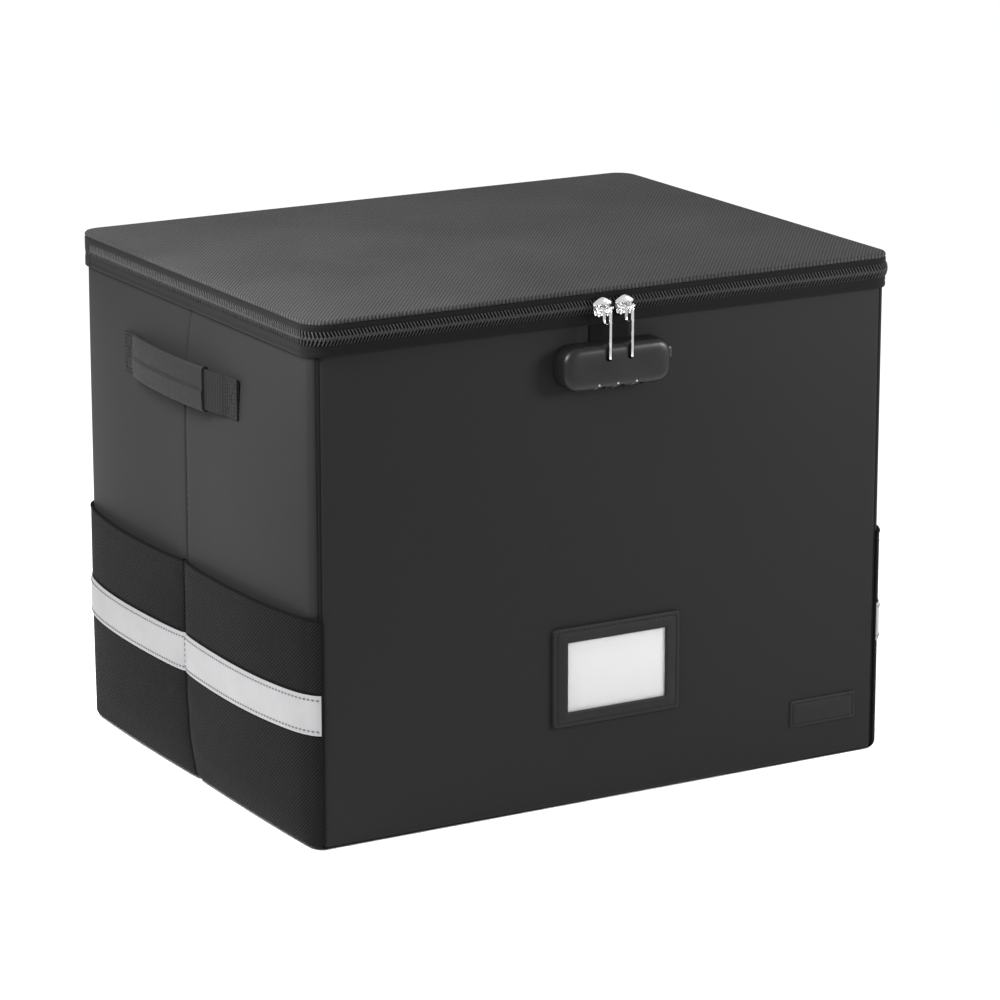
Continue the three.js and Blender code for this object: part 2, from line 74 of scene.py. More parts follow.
world = bpy.data.worlds.new("studio_air")
world.use_nodes = True
world.node_tree.nodes["Background"].inputs["Color"].default_value = (1.0, 1.0, 1.0, 1)
world.node_tree.nodes["Background"].inputs["Strength"].default_value = 1.05
bpy.context.scene.world = world


def soft_light(name, at, aim, size, power):
    data = bpy.data.lights.new(name, "AREA")
    data.shape = "RECTANGLE"
    data.size, data.size_y = size
    data.energy = power
    light = bpy.data.objects.new(name, data)
    light.location = at
    light.rotation_euler = (Vector(aim) - Vector(at)).to_track_quat("-Z", "Y").to_euler()
    bpy.context.scene.collection.objects.link(light)


soft_light("top_panel", (-0.55, -0.15, 0.62), (-0.18, 0, 0.3), (0.25, 0.25), 13)
soft_light("left_panel", (-2.6, 0.9, 0.9), (0, 0, 0.15), (1.6, 1.4), 5)
soft_light("front_panel", (0.45, -0.55, 0.42), (0.12, -0.15, 0.25), (0.2, 0.2), 6)


def put(tree, kind, inputs=None, **settings):
    """Adds a shader node, sets its options, and fills or links its inputs."""
    node = tree.nodes.new(kind)
    for key, value in settings.items():
        setattr(node, key, value)
    for key, value in (inputs or {}).items():
        if isinstance(value, bpy.types.NodeSocket):
            tree.links.new(value, node.inputs[key])
        else:
            node.inputs[key].default_value = value
    return node


def new_finish(name):
    material = bpy.data.materials.new(name)
    material.use_nodes = True
    return material, material.node_tree, material.node_tree.nodes["Principled BSDF"]


paper_sweep, tree, shader = new_finish("paper_sweep")
grain = put(tree, "ShaderNodeTexNoise", {"Scale": 3.0, "Detail": 4.0})
tone = put(tree, "ShaderNodeMapRange", {"Value": grain.outputs["Fac"], "To Min": 0.93, "To Max": 0.97})
tree.links.new(tone.outputs["Result"], shader.inputs["Base Color"])
shader.inputs["Roughness"].default_value = 0.8

floor_mesh = bpy.data.meshes.new("studio_floor")
FLOOR_REACH = 14
floor_mesh.from_pydata([(-FLOOR_REACH, -FLOOR_REACH, 0), (FLOOR_REACH, -FLOOR_REACH, 0),
                        (FLOOR_REACH, FLOOR_REACH, 0), (-FLOOR_REACH, FLOOR_REACH, 0)], [], [(0, 1, 2, 3)])
floor_mesh.materials.append(paper_sweep)
studio_floor = bpy.data.objects.new("studio_floor", floor_mesh)
studio_floor.location.z = -0.0004
bpy.context.scene.collection.objects.link(studio_floor)

# ---- Walls --------------------------------------------------------------------------------------
# Four panels of matt coated glass cloth. The side panels wrap round the upright corners and are
# sewn to the front and back in a turned-in seam; fire boards inside keep them flat, and the side
# walls, which fold on their middle line, bow out a little.
HALF_W, HALF_D = 200.0, 156.0
CORNER_R = 8.0
SEAM_X = 195.7
WALL_TOP = 298.3
SIDE_BOW = 6.8
BOW_MID_Z = 149.0
BOTTOM_ROLL = 3.4
CLOTH_T = 1.3
SHARP_ANGLE = math.radians(38)


def piece(name, points, faces, body, finish, stands_for=()):
    """Makes a mesh from points in millimetres, and sets its body, finish and the nodes it stands for."""
    mesh = bpy.data.meshes.new(name)
    mesh.from_pydata([(x * MM, y * MM, z * MM) for x, y, z in points], [], faces)
    shape = bmesh.new()
    shape.from_mesh(mesh)
    bmesh.ops.recalc_face_normals(shape, faces=shape.faces)
    for face in shape.faces:
        face.smooth = True
    for edge in shape.edges:
        if len(edge.link_faces) == 2 and edge.calc_face_angle(0) > SHARP_ANGLE:
            edge.smooth = False
    shape.to_mesh(mesh)
    shape.free()
    mesh.materials.append(finish)
    made = bpy.data.objects.new(name, mesh)
    bpy.context.scene.collection.objects.link(made)
    if body:
        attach(made, body)
    if stands_for:
        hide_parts(*stands_for)
    return made


def rounded_path(half_a, half_b, r, step=9.0, arc=8, inset=0.0):
    """Points with outward directions round a rounded rectangle, anticlockwise from the far middle.
    An inset draws it smaller, with the same number of points."""
    counts = [max(1, round(flat / step)) for flat in (half_a - r, 2 * (half_b - r), 2 * (half_a - r))]
    half_a, half_b, r = half_a - inset, half_b - inset, max(r - inset, 0.3)
    points = []
    inner_a, inner_b = half_a - r, half_b - r
    corners = [(-1, 1, 90, 0), (-1, -1, 180, 1), (1, -1, 270, 2), (1, 1, 0, 1)]
    at = (0.0, half_b)
    for side_a, side_b, start, flat in corners:
        angle = math.radians(start)
        reach = (side_a * inner_a + r * math.cos(angle), side_b * inner_b + r * math.sin(angle))
        points += straight(at, reach, (math.cos(angle), math.sin(angle)), counts[flat])
        for i in range(arc):
            angle = math.radians(start + 90 * i / arc)
            points.append((side_a * inner_a + r * math.cos(angle),
                           side_b * inner_b + r * math.sin(angle), math.cos(angle), math.sin(angle)))
        angle = math.radians(start + 90)
        at = (side_a * inner_a + r * math.cos(angle), side_b * inner_b + r * math.sin(angle))
    points += straight(at, (0.0, half_b), (0.0, 1.0), counts[0])
    return points


def straight(a, b, out, count):
    return [(a[0] + (b[0] - a[0]) * i / count, a[1] + (b[1] - a[1]) * i / count, *out)
            for i in range(count)]


def sweep(path, section, place=None, closed=True, drift=None):
    """Runs a closed section (outward, height) along a path; place turns it into box coordinates."""
    points, faces = [], []
    count = len(section)
    for a, b, out_a, out_b in path:
        for out, height in section:
            reach = out + (drift(a, b, height) if drift else 0.0)
            spot = (a + out_a * reach, b + out_b * reach, height)
            points.append(place(*spot) if place else spot)
    rows = len(path)
    for i in range(rows if closed else rows - 1):
        for j in range(count):
            here, there = i * count, (i + 1) % rows * count
            faces.append((here + j, here + (j + 1) % count, there + (j + 1) % count, there + j))
    if not closed:
        faces.append(tuple(range(count)))
        faces.append(tuple((rows - 1) * count + j for j in range(count)))
    return points, faces


def side_bow(y, z):
    """How far the side cloth bulges past the flat wall."""
    along = max(0.0, 1 - (abs(y) / 152) ** 4)
    upward = max(0.0, 1 - (abs(z - BOW_MID_Z) / BOW_MID_Z) ** 5)
    return SIDE_BOW * along * upward


def wall_cloth_drift(x, y, z):
    """Bow of the sides, the turned-in seams, the rolled bottom edge and a little unevenness."""
    drift = 0.0
    if abs(x) > SEAM_X + 0.2:
        drift += side_bow(y, z)
        crease = max(0.0, 1 - abs(y) / 2.2)
        drift -= 1.1 * crease ** 2
        drift += 0.5 * math.sin(y / 31 + 1.1) * math.sin(z / 47 + 0.6) * min(1, z / 40) \
            * max(0.0, 1 - (abs(y) / 150) ** 2)
    else:
        reach = max(0.0, 1 - (x / 190) ** 2)
        drift += reach * (0.35 * math.sin(x / 57 + 0.4) * math.sin(z / 71 + 0.9) + 0.45)
    seam = max(0.0, 1 - abs(abs(x) - SEAM_X) / 2.0) if abs(y) > HALF_D - CORNER_R - 1 else 0.0
    drift -= 1.5 * seam ** 1.5
    if z < BOTTOM_ROLL:
        drift -= BOTTOM_ROLL - math.sqrt(max(0.0, BOTTOM_ROLL ** 2 - (BOTTOM_ROLL - z) ** 2))
    return drift


def heights(low, high, step, fine_low=()):
    count = max(1, round((high - low) / step))
    return list(fine_low) + [low + (high - low) * i / count for i in range(count + 1)]


def sheet_section(levels, thickness, outside=0.0):
    """A thin upright sheet: its outer face up, then its inner face down."""
    outer = [(outside, z) for z in levels]
    return outer + [(outside - thickness, z) for z in reversed(levels)]


def weave_coordinates(tree, lying):
    """Cloth coordinates in metres: round the box and up on a wall, or flat across on a lid."""
    place = put(tree, "ShaderNodeTexCoord")
    split = put(tree, "ShaderNodeSeparateXYZ", {"Vector": place.outputs["Object"]})
    if lying:
        return put(tree, "ShaderNodeCombineXYZ", {"X": split.outputs["X"], "Y": split.outputs["Y"]})
    around = put(tree, "ShaderNodeMath", {0: split.outputs["X"], 1: split.outputs["Y"]},
                 operation="SUBTRACT")
    return put(tree, "ShaderNodeCombineXYZ", {"X": around.outputs["Value"], "Y": split.outputs["Z"]})


WAVE_PERIOD = 2 * math.pi / 20     # length of one band at scale 1


def yarn_bands(tree, cloth, turn, pitch):
    turned = put(tree, "ShaderNodeMapping", {"Vector": cloth.outputs["Vector"]})
    turned.inputs["Rotation"].default_value = (0, 0, math.radians(turn))
    return put(tree, "ShaderNodeTexWave", {"Vector": turned.outputs["Vector"],
                                           "Scale": WAVE_PERIOD / (pitch * MM), "Distortion": 0.6,
                                           "Detail Scale": 2.0}, wave_type="BANDS")


def woven(name, colour, pitch, turns, depth, rough, lying=False, contrast=0.25, sheen=0.15,
          gloss_level=0.06):
    """A woven cloth: two runs of yarn at the given angles, fibre fuzz, and a slow change of tone."""
    finish, tree, shader = new_finish(name)
    cloth = weave_coordinates(tree, lying)
    ribs = yarn_bands(tree, cloth, turns[0], pitch)
    floats = yarn_bands(tree, cloth, turns[1], pitch * 1.35)
    both = put(tree, "ShaderNodeMath", {0: ribs.outputs["Fac"], 1: floats.outputs["Fac"]},
               operation="MULTIPLY")
    height = put(tree, "ShaderNodeMix", {"Factor": 0.45, "A": ribs.outputs["Fac"],
                                         "B": both.outputs["Value"]})
    fuzz = put(tree, "ShaderNodeTexNoise", {"Vector": cloth.outputs["Vector"], "Scale": 1400.0,
                                            "Detail": 3.0})
    blotch = put(tree, "ShaderNodeTexNoise", {"Vector": cloth.outputs["Vector"], "Scale": 11.0,
                                              "Detail": 3.0})
    mix = put(tree, "ShaderNodeMath", {0: fuzz.outputs["Fac"], 1: blotch.outputs["Fac"]},
              operation="ADD")
    tone = put(tree, "ShaderNodeMath", {0: mix.outputs["Value"], 1: height.outputs["Result"]},
               operation="ADD")
    shade = put(tree, "ShaderNodeMapRange", {"Value": tone.outputs["Value"], "From Min": 0.7,
                                             "From Max": 2.0, "To Min": 1 - contrast,
                                             "To Max": 1 + contrast})
    tint = put(tree, "ShaderNodeMix", {"Factor": 1.0}, data_type="RGBA", blend_type="MULTIPLY")
    tint.inputs[6].default_value = (*colour, 1)
    tree.links.new(shade.outputs["Result"], tint.inputs[7])
    tree.links.new(tint.outputs[2], shader.inputs["Base Color"])
    gloss = put(tree, "ShaderNodeMapRange", {"Value": mix.outputs["Value"], "From Min": 0.6,
                                             "From Max": 1.4, "To Min": rough - 0.06,
                                             "To Max": rough + 0.06})
    tree.links.new(gloss.outputs["Result"], shader.inputs["Roughness"])
    relief = put(tree, "ShaderNodeMath", {0: height.outputs["Result"], 1: fuzz.outputs["Fac"]},
                 operation="ADD")
    bump = put(tree, "ShaderNodeBump", {"Height": relief.outputs["Value"], "Strength": 0.6,
                                        "Distance": depth * MM})
    tree.links.new(bump.outputs["Normal"], shader.inputs["Normal"])
    shader.inputs["Sheen Weight"].default_value = sheen
    shader.inputs["Sheen Roughness"].default_value = 0.5
    shader.inputs["Specular IOR Level"].default_value = gloss_level
    return finish


wall_cloth = woven("wall_cloth", (0.0078, 0.0078, 0.008), 0.9, (0, 90), 0.05, 0.62, contrast=0.10,
                   sheen=0.02)
wall_path = rounded_path(HALF_W, HALF_D, CORNER_R, step=6.0, arc=10)


def cut_path(path, keep, ends):
    """The run of a path that keep() accepts, with exact end points added."""
    kept = [p for p in path if keep(p[0], p[1])]
    return [ends[0]] + kept + [ends[1]] if ends else kept


def seam_point(side_x, side_y):
    """The point of the wall outline on an upright seam."""
    over = SEAM_X - (HALF_W - CORNER_R)
    rise = math.sqrt(CORNER_R ** 2 - over ** 2)
    return (side_x * SEAM_X, side_y * (HALF_D - CORNER_R + rise),
            side_x * over / CORNER_R, side_y * rise / CORNER_R)


wall_levels = heights(14.0, WALL_TOP, 9.0, fine_low=(0.5, 0.8, 1.3, 2.0, 2.8, 4.0, 7.0, 10.0))
wall_section = sheet_section(wall_levels, CLOTH_T)
left_path = cut_path(wall_path, lambda x, y: x < -SEAM_X, (seam_point(-1, 1), seam_point(-1, -1)))
extra = [(-HALF_W, y, -1.0, 0.0) for y in (2.4, 1.6, 0.8, 0.0, -0.8, -1.6, -2.4)]
left_path = [p for p in left_path if abs(p[1]) > 3.2 or p[0] > -199.9]
middle = next(i for i, p in enumerate(left_path) if p[1] < 0)
left_path[middle:middle] = extra
right_path = [(-x, y, -nx, ny) for x, y, nx, ny in reversed(left_path)]
front_path = cut_path(wall_path, lambda x, y: abs(x) < SEAM_X and y < 0,
                      (seam_point(-1, -1), seam_point(1, -1)))
back_path = [(-x, -y, -nx, -ny) for x, y, nx, ny in front_path]
for label, run in (("front", front_path), ("left", left_path), ("back", back_path),
                   ("right", right_path)):
    points, faces = sweep(run, wall_section, closed=False, drift=wall_cloth_drift)
    piece(f"{label}_wall_cloth", points, faces, "box", wall_cloth,
          (f"{label}_skin",))

# ---- Floor panel --------------------------------------------------------------------------------
# The box stands on a sewn-in panel of the same cloth. A thin black cord runs round it just inside
# the rolled foot of the walls, where it shows as a dark line along the bottom edge.
FOOT_LINE_R = 1.1
foot_line_path = rounded_path(HALF_W - 1.6, HALF_D - 1.6, CORNER_R - 1.6, step=12.0)
foot_line_section = [(FOOT_LINE_R * math.cos(a), 1.15 + FOOT_LINE_R * math.sin(a))
                for a in (2 * math.pi * i / 8 for i in range(8))]
points, faces = sweep(foot_line_path, foot_line_section)
tape_black = woven("tape_black", (0.0028, 0.0028, 0.0029), 1.3, (0, 90), 0.12, 0.85, contrast=0.35,
                   sheen=0.03)
piece("floor_dark_line", points, faces, "box", tape_black)


def plate_rings(path_of, levels):
    """Stacks outlines into a closed plate: levels are (inset, height) pairs from bottom to top."""
    points, faces = [], []
    count = 0
    for inset, height in levels:
        ring = path_of(inset)
        count = len(ring)
        points += [(p[0], p[1], height) for p in ring]
    for i in range(len(levels) - 1):
        for j in range(count):
            faces.append((i * count + j, i * count + (j + 1) % count,
                          (i + 1) * count + (j + 1) % count, (i + 1) * count + j))
    faces.append(tuple(reversed(range(count))))
    faces.append(tuple((len(levels) - 1) * count + j for j in range(count)))
    return points, faces


floor_rings = [(3.0, 0.0), (2.2, 0.25), (1.9, 0.9), (2.2, 1.6), (3.0, 1.8)]
points, faces = plate_rings(
    lambda inset: rounded_path(HALF_W - 1.0, HALF_D - 1.0, CORNER_R, step=14.0, inset=inset),
    floor_rings)
piece("floor_panel", points, faces, "box", wall_cloth, ("floor_skin",))

# ---- Stitching ----------------------------------------------------------------------------------
# Lock stitch in a bonded black thread: short rounded bars of thread that dip into the cloth at each
# needle hole. The fold line of each side wall is sewn through from top to bottom.
STITCH_PITCH = 4.0
STITCH_LENGTH = 3.0
STITCH_R = 0.28


def stitch_bars(line, out, pitch=STITCH_PITCH, length=STITCH_LENGTH, r=STITCH_R):
    """Thread bars along a line of points; out(i) is the cloth's outward direction at a point."""
    points, faces = [], []
    spots = [Vector(p) for p in line]
    run = [0.0]
    for a, b in zip(spots, spots[1:]):
        run.append(run[-1] + (b - a).length)

    def at(distance):
        distance = min(max(distance, 0.0), run[-1])
        i = next(k for k in range(1, len(run)) if run[k] >= distance - 1e-9)
        share = (distance - run[i - 1]) / max(1e-9, run[i] - run[i - 1])
        return spots[i - 1].lerp(spots[i], share), (spots[i] - spots[i - 1]).normalized(), i

    shape = ((0.0, 0.25, -1.2), (0.18, 0.8, -0.2), (0.5, 1.0, 0.3), (0.82, 0.8, -0.2), (1.0, 0.25, -1.2))
    for n in range(int(run[-1] // pitch)):
        base = len(points)
        for share, width, lift in shape:
            spot, along, i = at(n * pitch + (pitch - length) / 2 + share * length)
            normal = Vector(out(i)).normalized()
            across = along.cross(normal).normalized()
            centre = spot + normal * lift * r
            for k in range(6):
                angle = 2 * math.pi * k / 6
                points.append(tuple(centre + across * (width * r * 1.3 * math.cos(angle))
                                    + normal * (width * r * math.sin(angle))))
        for row in range(len(shape) - 1):
            for k in range(6):
                a = base + row * 6
                faces.append((a + k, a + (k + 1) % 6, a + 6 + (k + 1) % 6, a + 6 + k))
        faces.append(tuple(base + k for k in reversed(range(6))))
        faces.append(tuple(base + (len(shape) - 1) * 6 + k for k in range(6)))
    return points, faces


def joined(parts):
    """Several point and face lists as one."""
    points, faces = [], []
    for some_points, some_faces in parts:
        base = len(points)
        points += some_points
        faces += [tuple(base + k for k in face) for face in some_faces]
    return points, faces


def post(x, y, z0, z1, r, step=12.0):
    """An upright round cord."""
    levels = heights(z0, z1, step)
    points = [(x + r * math.cos(math.pi / 4 * k), y + r * math.sin(math.pi / 4 * k), z)
              for z in levels for k in range(8)]
    faces = [(i * 8 + k, i * 8 + (k + 1) % 8, (i + 1) * 8 + (k + 1) % 8, (i + 1) * 8 + k)
             for i in range(len(levels) - 1) for k in range(8)]
    return points, faces + [tuple(range(8)), tuple((len(levels) - 1) * 8 + k for k in range(8))]


def thread_finish(name, colour):
    finish, tree, shader = new_finish(name)
    place = put(tree, "ShaderNodeTexCoord")
    ply = put(tree, "ShaderNodeTexWave", {"Vector": place.outputs["Object"], "Scale": 900.0,
                                          "Distortion": 2.0}, wave_type="BANDS",
              bands_direction="DIAGONAL")
    tone = put(tree, "ShaderNodeValToRGB", {"Fac": ply.outputs["Fac"]})
    tone.color_ramp.elements[0].color = (*[c * 0.6 for c in colour], 1)
    tone.color_ramp.elements[1].color = (*[c * 1.3 for c in colour], 1)
    tree.links.new(tone.outputs["Color"], shader.inputs["Base Color"])
    bump = put(tree, "ShaderNodeBump", {"Height": ply.outputs["Fac"], "Strength": 0.4,
                                        "Distance": 0.0001})
    tree.links.new(bump.outputs["Normal"], shader.inputs["Normal"])
    shader.inputs["Roughness"].default_value = 0.6
    shader.inputs["Specular IOR Level"].default_value = 0.06
    return finish


black_thread = thread_finish("black_thread", (0.004, 0.004, 0.004))
for label, side in (("left", -1), ("right", 1)):
    lines = []
    for low, high in ((143.5, 243.5), (272.5, 297.0)):
        fold = [(side * (HALF_W + side_bow(0, z) - 0.95), 0.0, z) for z in heights(low, high, 4.0)]
        lines.append(stitch_bars(fold, lambda i: (side, 0, 0), length=2.8, r=0.5))
    points, faces = joined(lines)
    piece(f"{label}_fold_stitches", points, faces, "box", black_thread)
cords = []
for side_x in (-1, 1):
    for side_y in (-1, 1):
        x, y, nx, ny = seam_point(side_x, side_y)
        cords.append(post(x - nx * 0.75, y - ny * 0.75, 3.2, WALL_TOP - 0.6, 0.85))
points, faces = joined(cords)
piece("corner_seam_cords", points, faces, "box", black_thread)

# ---- Side pockets -------------------------------------------------------------------------------
# Each side carries two open-topped pockets of heavier black twill, gathered into the fold seam and
# the corner seams so that they belly out, with a rolled hem along the mouth.
POCKET_TOP = 142.0
POCKET_T = 1.3
BELLY = 4.4
POCKET_SEAM_Y = 1.0


def belly(y, z):
    """How far a pocket stands off the wall cloth behind it."""
    share = min(1.0, max(0.0, (abs(y) - POCKET_SEAM_Y) / (149 - POCKET_SEAM_Y)))
    full = math.sin(math.pi * share) ** 0.45 if 0 < share < 1 else 0.0
    bottom = min(1.0, max(0.0, z / 22)) ** 0.5
    sag = 1 + 0.08 * math.sin(z / 21 + y / 40)
    return 0.5 + BELLY * full * bottom * sag


def pocket_drift(x, y, z):
    drift = side_bow(y, z) if abs(x) > SEAM_X else 0.0
    drift += belly(y, z)
    pucker = max(0.0, 1 - (abs(y) - POCKET_SEAM_Y) / 26)
    drift += 0.45 * pucker * math.sin(z / 3.9 + 0.6 * math.sin(z / 11)) * min(1, (abs(y) - 1) / 5)
    if z < BOTTOM_ROLL + 1:
        drop = BOTTOM_ROLL + 1 - z
        drift -= BOTTOM_ROLL + 1 - math.sqrt(max(0.0, (BOTTOM_ROLL + 1) ** 2 - drop ** 2))
    return drift


pocket_levels = heights(12.0, POCKET_TOP - 1.0, 3.0, fine_low=(0.6, 1.2, 2.2, 3.6, 5.5, 8.5))
hem_roll = [(0.35, POCKET_TOP - 0.6), (0.2, POCKET_TOP), (-0.5, POCKET_TOP + 0.45),
            (-1.2, POCKET_TOP + 0.2), (-1.6, POCKET_TOP - 0.6)]
# The black bead laid along each pocket mouth, between pocket and wall: painted shade for the dark opening there.
binding_and_shade_section = [(POCKET_T + out, POCKET_TOP + rise) for out, rise in
                   ((0.42, -0.5), (0.5, 0.0), (0.35, 0.55), (-0.1, 0.8), (-0.8, 0.85), (-1.6, 0.4),
                    (-1.75, -0.4), (-0.6, -0.2))]
pocket_section = ([(0.0, z) for z in pocket_levels] + hem_roll
                  + [(-POCKET_T, z) for z in reversed(pocket_levels)])
pocket_section = [(out + POCKET_T, z) for out, z in pocket_section]
pocket_twill = woven("pocket_twill", (0.0042, 0.0042, 0.0044), 1.9, (50, -38), 0.5, 0.78,
                     contrast=0.85, sheen=0.01, gloss_level=0.03)
# A near-black cloth for the strip backings, and for the pocket-mouth beads, where it paints the shade in the
# opening.
edging_and_shade_black = woven("edging_and_shade_black", (0.003, 0.003, 0.003), 1.1, (0, 90), 0.1, 0.9, contrast=0.3,
                   sheen=0.0, gloss_level=0.03)
for label, side in (("left", -1), ("right", 1)):
    run = left_path if side < 0 else right_path
    for where, sign in (("front", -1), ("rear", 1)):
        half = [p for p in run if sign * p[1] > POCKET_SEAM_Y + 0.5]
        edge = (side * HALF_W, sign * POCKET_SEAM_Y, side * 1.0, 0.0)
        half = half + [edge] if half[0][1] * sign > half[-1][1] * sign else [edge] + half
        points, faces = sweep(half, pocket_section, closed=False, drift=pocket_drift)
        piece(f"{label}_{where}_pocket", points, faces, "box", pocket_twill,
              (f"{label}_pocket_{where}",))
        # A black bead along the mouth paints the shadow in the opening between pocket and wall.
        points, faces = sweep(half, binding_and_shade_section, closed=False, drift=pocket_drift)
        piece(f"{label}_{where}_mouth_painted_shade", points, faces, "box", edging_and_shade_black)

# ---- Reflective strips --------------------------------------------------------------------------
# A glass-bead reflective tape on a black backing, across both pockets of each side, sewn along both
# edges and caught again in the fold seam, which pulls it in.
strip_low, strip_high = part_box("left_reflective_strip")
STRIP_Z0, STRIP_Z1 = strip_low.z / MM, strip_high.z / MM
strip_levels = heights(STRIP_Z0, STRIP_Z1, 2.2)


def strip_drift(x, y, z):
    return pocket_drift(x, y, z) - 0.35 * max(0.0, 1 - abs(y) / 4)


strip_section = [(POCKET_T + 0.25, STRIP_Z0)] + [
    (POCKET_T + 0.95 - (0.25 if z in (strip_levels[0], strip_levels[-1]) else 0.0), z)
    for z in strip_levels] + [(POCKET_T + 0.25, STRIP_Z1)]
backing_levels = heights(STRIP_Z0 - 1.0, STRIP_Z1 + 1.7, 2.0)
backing_section = [(POCKET_T + 0.1, z) for z in backing_levels] + \
    [(POCKET_T - 0.3, z) for z in reversed(backing_levels)]
silver_tape, tree, shader = new_finish("silver_tape")
cloth = weave_coordinates(tree, False)
beads = put(tree, "ShaderNodeTexVoronoi", {"Vector": cloth.outputs["Vector"], "Scale": 1600.0})
cloud = put(tree, "ShaderNodeTexNoise", {"Vector": cloth.outputs["Vector"], "Scale": 30.0,
                                         "Detail": 4.0})
tone = put(tree, "ShaderNodeMapRange", {"Value": cloud.outputs["Fac"], "From Min": 0.3,
                                        "From Max": 0.7, "To Min": 0.0, "To Max": 1.0})
ramp = put(tree, "ShaderNodeValToRGB", {"Fac": tone.outputs["Result"]})
ramp.color_ramp.elements[0].color = (0.15, 0.15, 0.153, 1)
ramp.color_ramp.elements[1].color = (0.175, 0.175, 0.178, 1)
tree.links.new(ramp.outputs["Color"], shader.inputs["Base Color"])
bump = put(tree, "ShaderNodeBump", {"Height": beads.outputs["Distance"], "Strength": 0.25,
                                    "Distance": 0.00008})
tree.links.new(bump.outputs["Normal"], shader.inputs["Normal"])
shine = put(tree, "ShaderNodeMapRange", {"Value": beads.outputs["Distance"], "To Min": 0.38,
                                         "To Max": 0.5})
tree.links.new(shine.outputs["Result"], shader.inputs["Roughness"])
shader.inputs["Metallic"].default_value = 0.15
grey_thread = thread_finish("grey_thread", (0.075, 0.075, 0.08))
for label, side in (("left", -1), ("right", 1)):
    run = left_path if side < 0 else right_path
    points, faces = sweep(run, backing_section, closed=False, drift=strip_drift)
    piece(f"{label}_strip_backing", points, faces, "box", edging_and_shade_black)
    points, faces = sweep(run, strip_section, closed=False, drift=strip_drift)
    piece(f"{label}_silver_strip", points, faces, "box", silver_tape,
          (f"{label}_reflective_strip",))
    rows = []
    for z in (STRIP_Z0 + 2.6, STRIP_Z1 - 2.6):
        line, outs = [], []
        for x, y, nx, ny in run:
            reach = POCKET_T + 0.98 + strip_drift(x, y, z)
            line.append((x + nx * reach, y + ny * reach, z))
            outs.append((nx, ny, 0))
        rows.append(stitch_bars(line, lambda i: outs[i], pitch=3.1, length=2.8, r=0.42))
    bar = [(side * (HALF_W + POCKET_T + 0.9 + strip_drift(side * HALF_W, 0, z)), 0.0, z)
           for z in heights(STRIP_Z0 + 1, STRIP_Z1 - 1, 3.0)]
    rows.append(stitch_bars(bar, lambda i: (side, 0, 0), pitch=3.6, length=2.8, r=0.6))
    points, faces = joined(rows)
    piece(f"{label}_strip_stitches", points, faces, "box", grey_thread)
    rows = []
    for low, high in ((6.0, STRIP_Z0 - 1), (STRIP_Z1 + 1, POCKET_TOP - 1)):
        bar = [(side * (HALF_W + side_bow(0, z) + 0.75), 0.0, z) for z in heights(low, high, 4.0)]
        rows.append(stitch_bars(bar, lambda i: (side, 0, 0), r=0.4))
    for where, sign in (("front", -1), ("rear", 1)):
        line, outs = [], []
        z = POCKET_TOP - 7.0
        for x, y, nx, ny in run:
            if sign * y > 3:
                reach = POCKET_T + 0.03 + pocket_drift(x, y, z)
                line.append((x + nx * reach, y + ny * reach, z))
                outs.append((nx, ny, 0))
        rows.append(stitch_bars(line, lambda i: outs[i], r=0.2))
    points, faces = joined(rows)
    piece(f"{label}_pocket_stitches", points, faces, "box", black_thread)

# ---- Handles ------------------------------------------------------------------------------------
# Each side has a 25 mm ribbed webbing strap sewn flat at both ends and bowed between them, with a
# grained grip sleeve wrapped round it and closed along its face.
strap_low, strap_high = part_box("left_handle_strap")
HANDLE_Z = (strap_low.z + strap_high.z) / 2 / MM
HANDLE_Y0, HANDLE_Y1 = strap_low.y / MM, strap_high.y / MM
HANDLE_MID = (HANDLE_Y0 + HANDLE_Y1) / 2
SLEEVE_Y0, SLEEVE_Y1 = (v.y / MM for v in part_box("left_handle_sleeve"))
FREE_HALF = 64.0
HANDLE_BOW = 6.2
WEBBING_T = 1.8


def strap_stand_off(y):
    """Distance of the strap's inner face from the flat wall."""
    share = abs(y - HANDLE_MID) / FREE_HALF
    lift = HANDLE_BOW * math.cos(math.pi * share / 2) ** 0.6 if share < 1 else 0.0
    return side_bow(y, HANDLE_Z) + 0.35 + lift


def strap_frames(y0, y1, step):
    """Points along the strap with outward directions, seen from above."""
    count = round((y1 - y0) / step)
    spots = [(strap_stand_off(y0 + (y1 - y0) * i / count), y0 + (y1 - y0) * i / count)
             for i in range(count + 1)]
    frames = []
    for i, (out, y) in enumerate(spots):
        before, after = spots[max(0, i - 1)], spots[min(count, i + 1)]
        slope = Vector((after[1] - before[1], -(after[0] - before[0]))).normalized()
        frames.append((out, y, slope.x, slope.y))
    return frames


def strap_piece(side, frames, section):
    """Sweeps a closed (outward, height) section along the strap of one side."""
    points, faces = [], []
    count = len(section)
    for out, y, push, slide in frames:
        for lift, height in section:
            points.append((side * (HALF_W + out + push * lift), y + slide * lift, HANDLE_Z + height))
    for i in range(len(frames) - 1):
        for j in range(count):
            a, b = i * count, (i + 1) * count
            faces.append((a + j, a + (j + 1) % count, b + (j + 1) % count, b + j))
    faces.append(tuple(range(count)))
    faces.append(tuple((len(frames) - 1) * count + j for j in range(count)))
    return points, faces


def rounded_section(low, high, half, r, steps=5):
    """A rounded strip section between two outward distances, half as tall as given."""
    section = []
    for out, height, start in ((high - r, half - r, 0), (low + r, half - r, 90),
                               (low + r, r - half, 180), (high - r, r - half, 270)):
        for i in range(steps + 1):
            angle = math.radians(start + 90 * i / steps)
            section.append((out + r * math.cos(angle), height + r * math.sin(angle)))
    return section


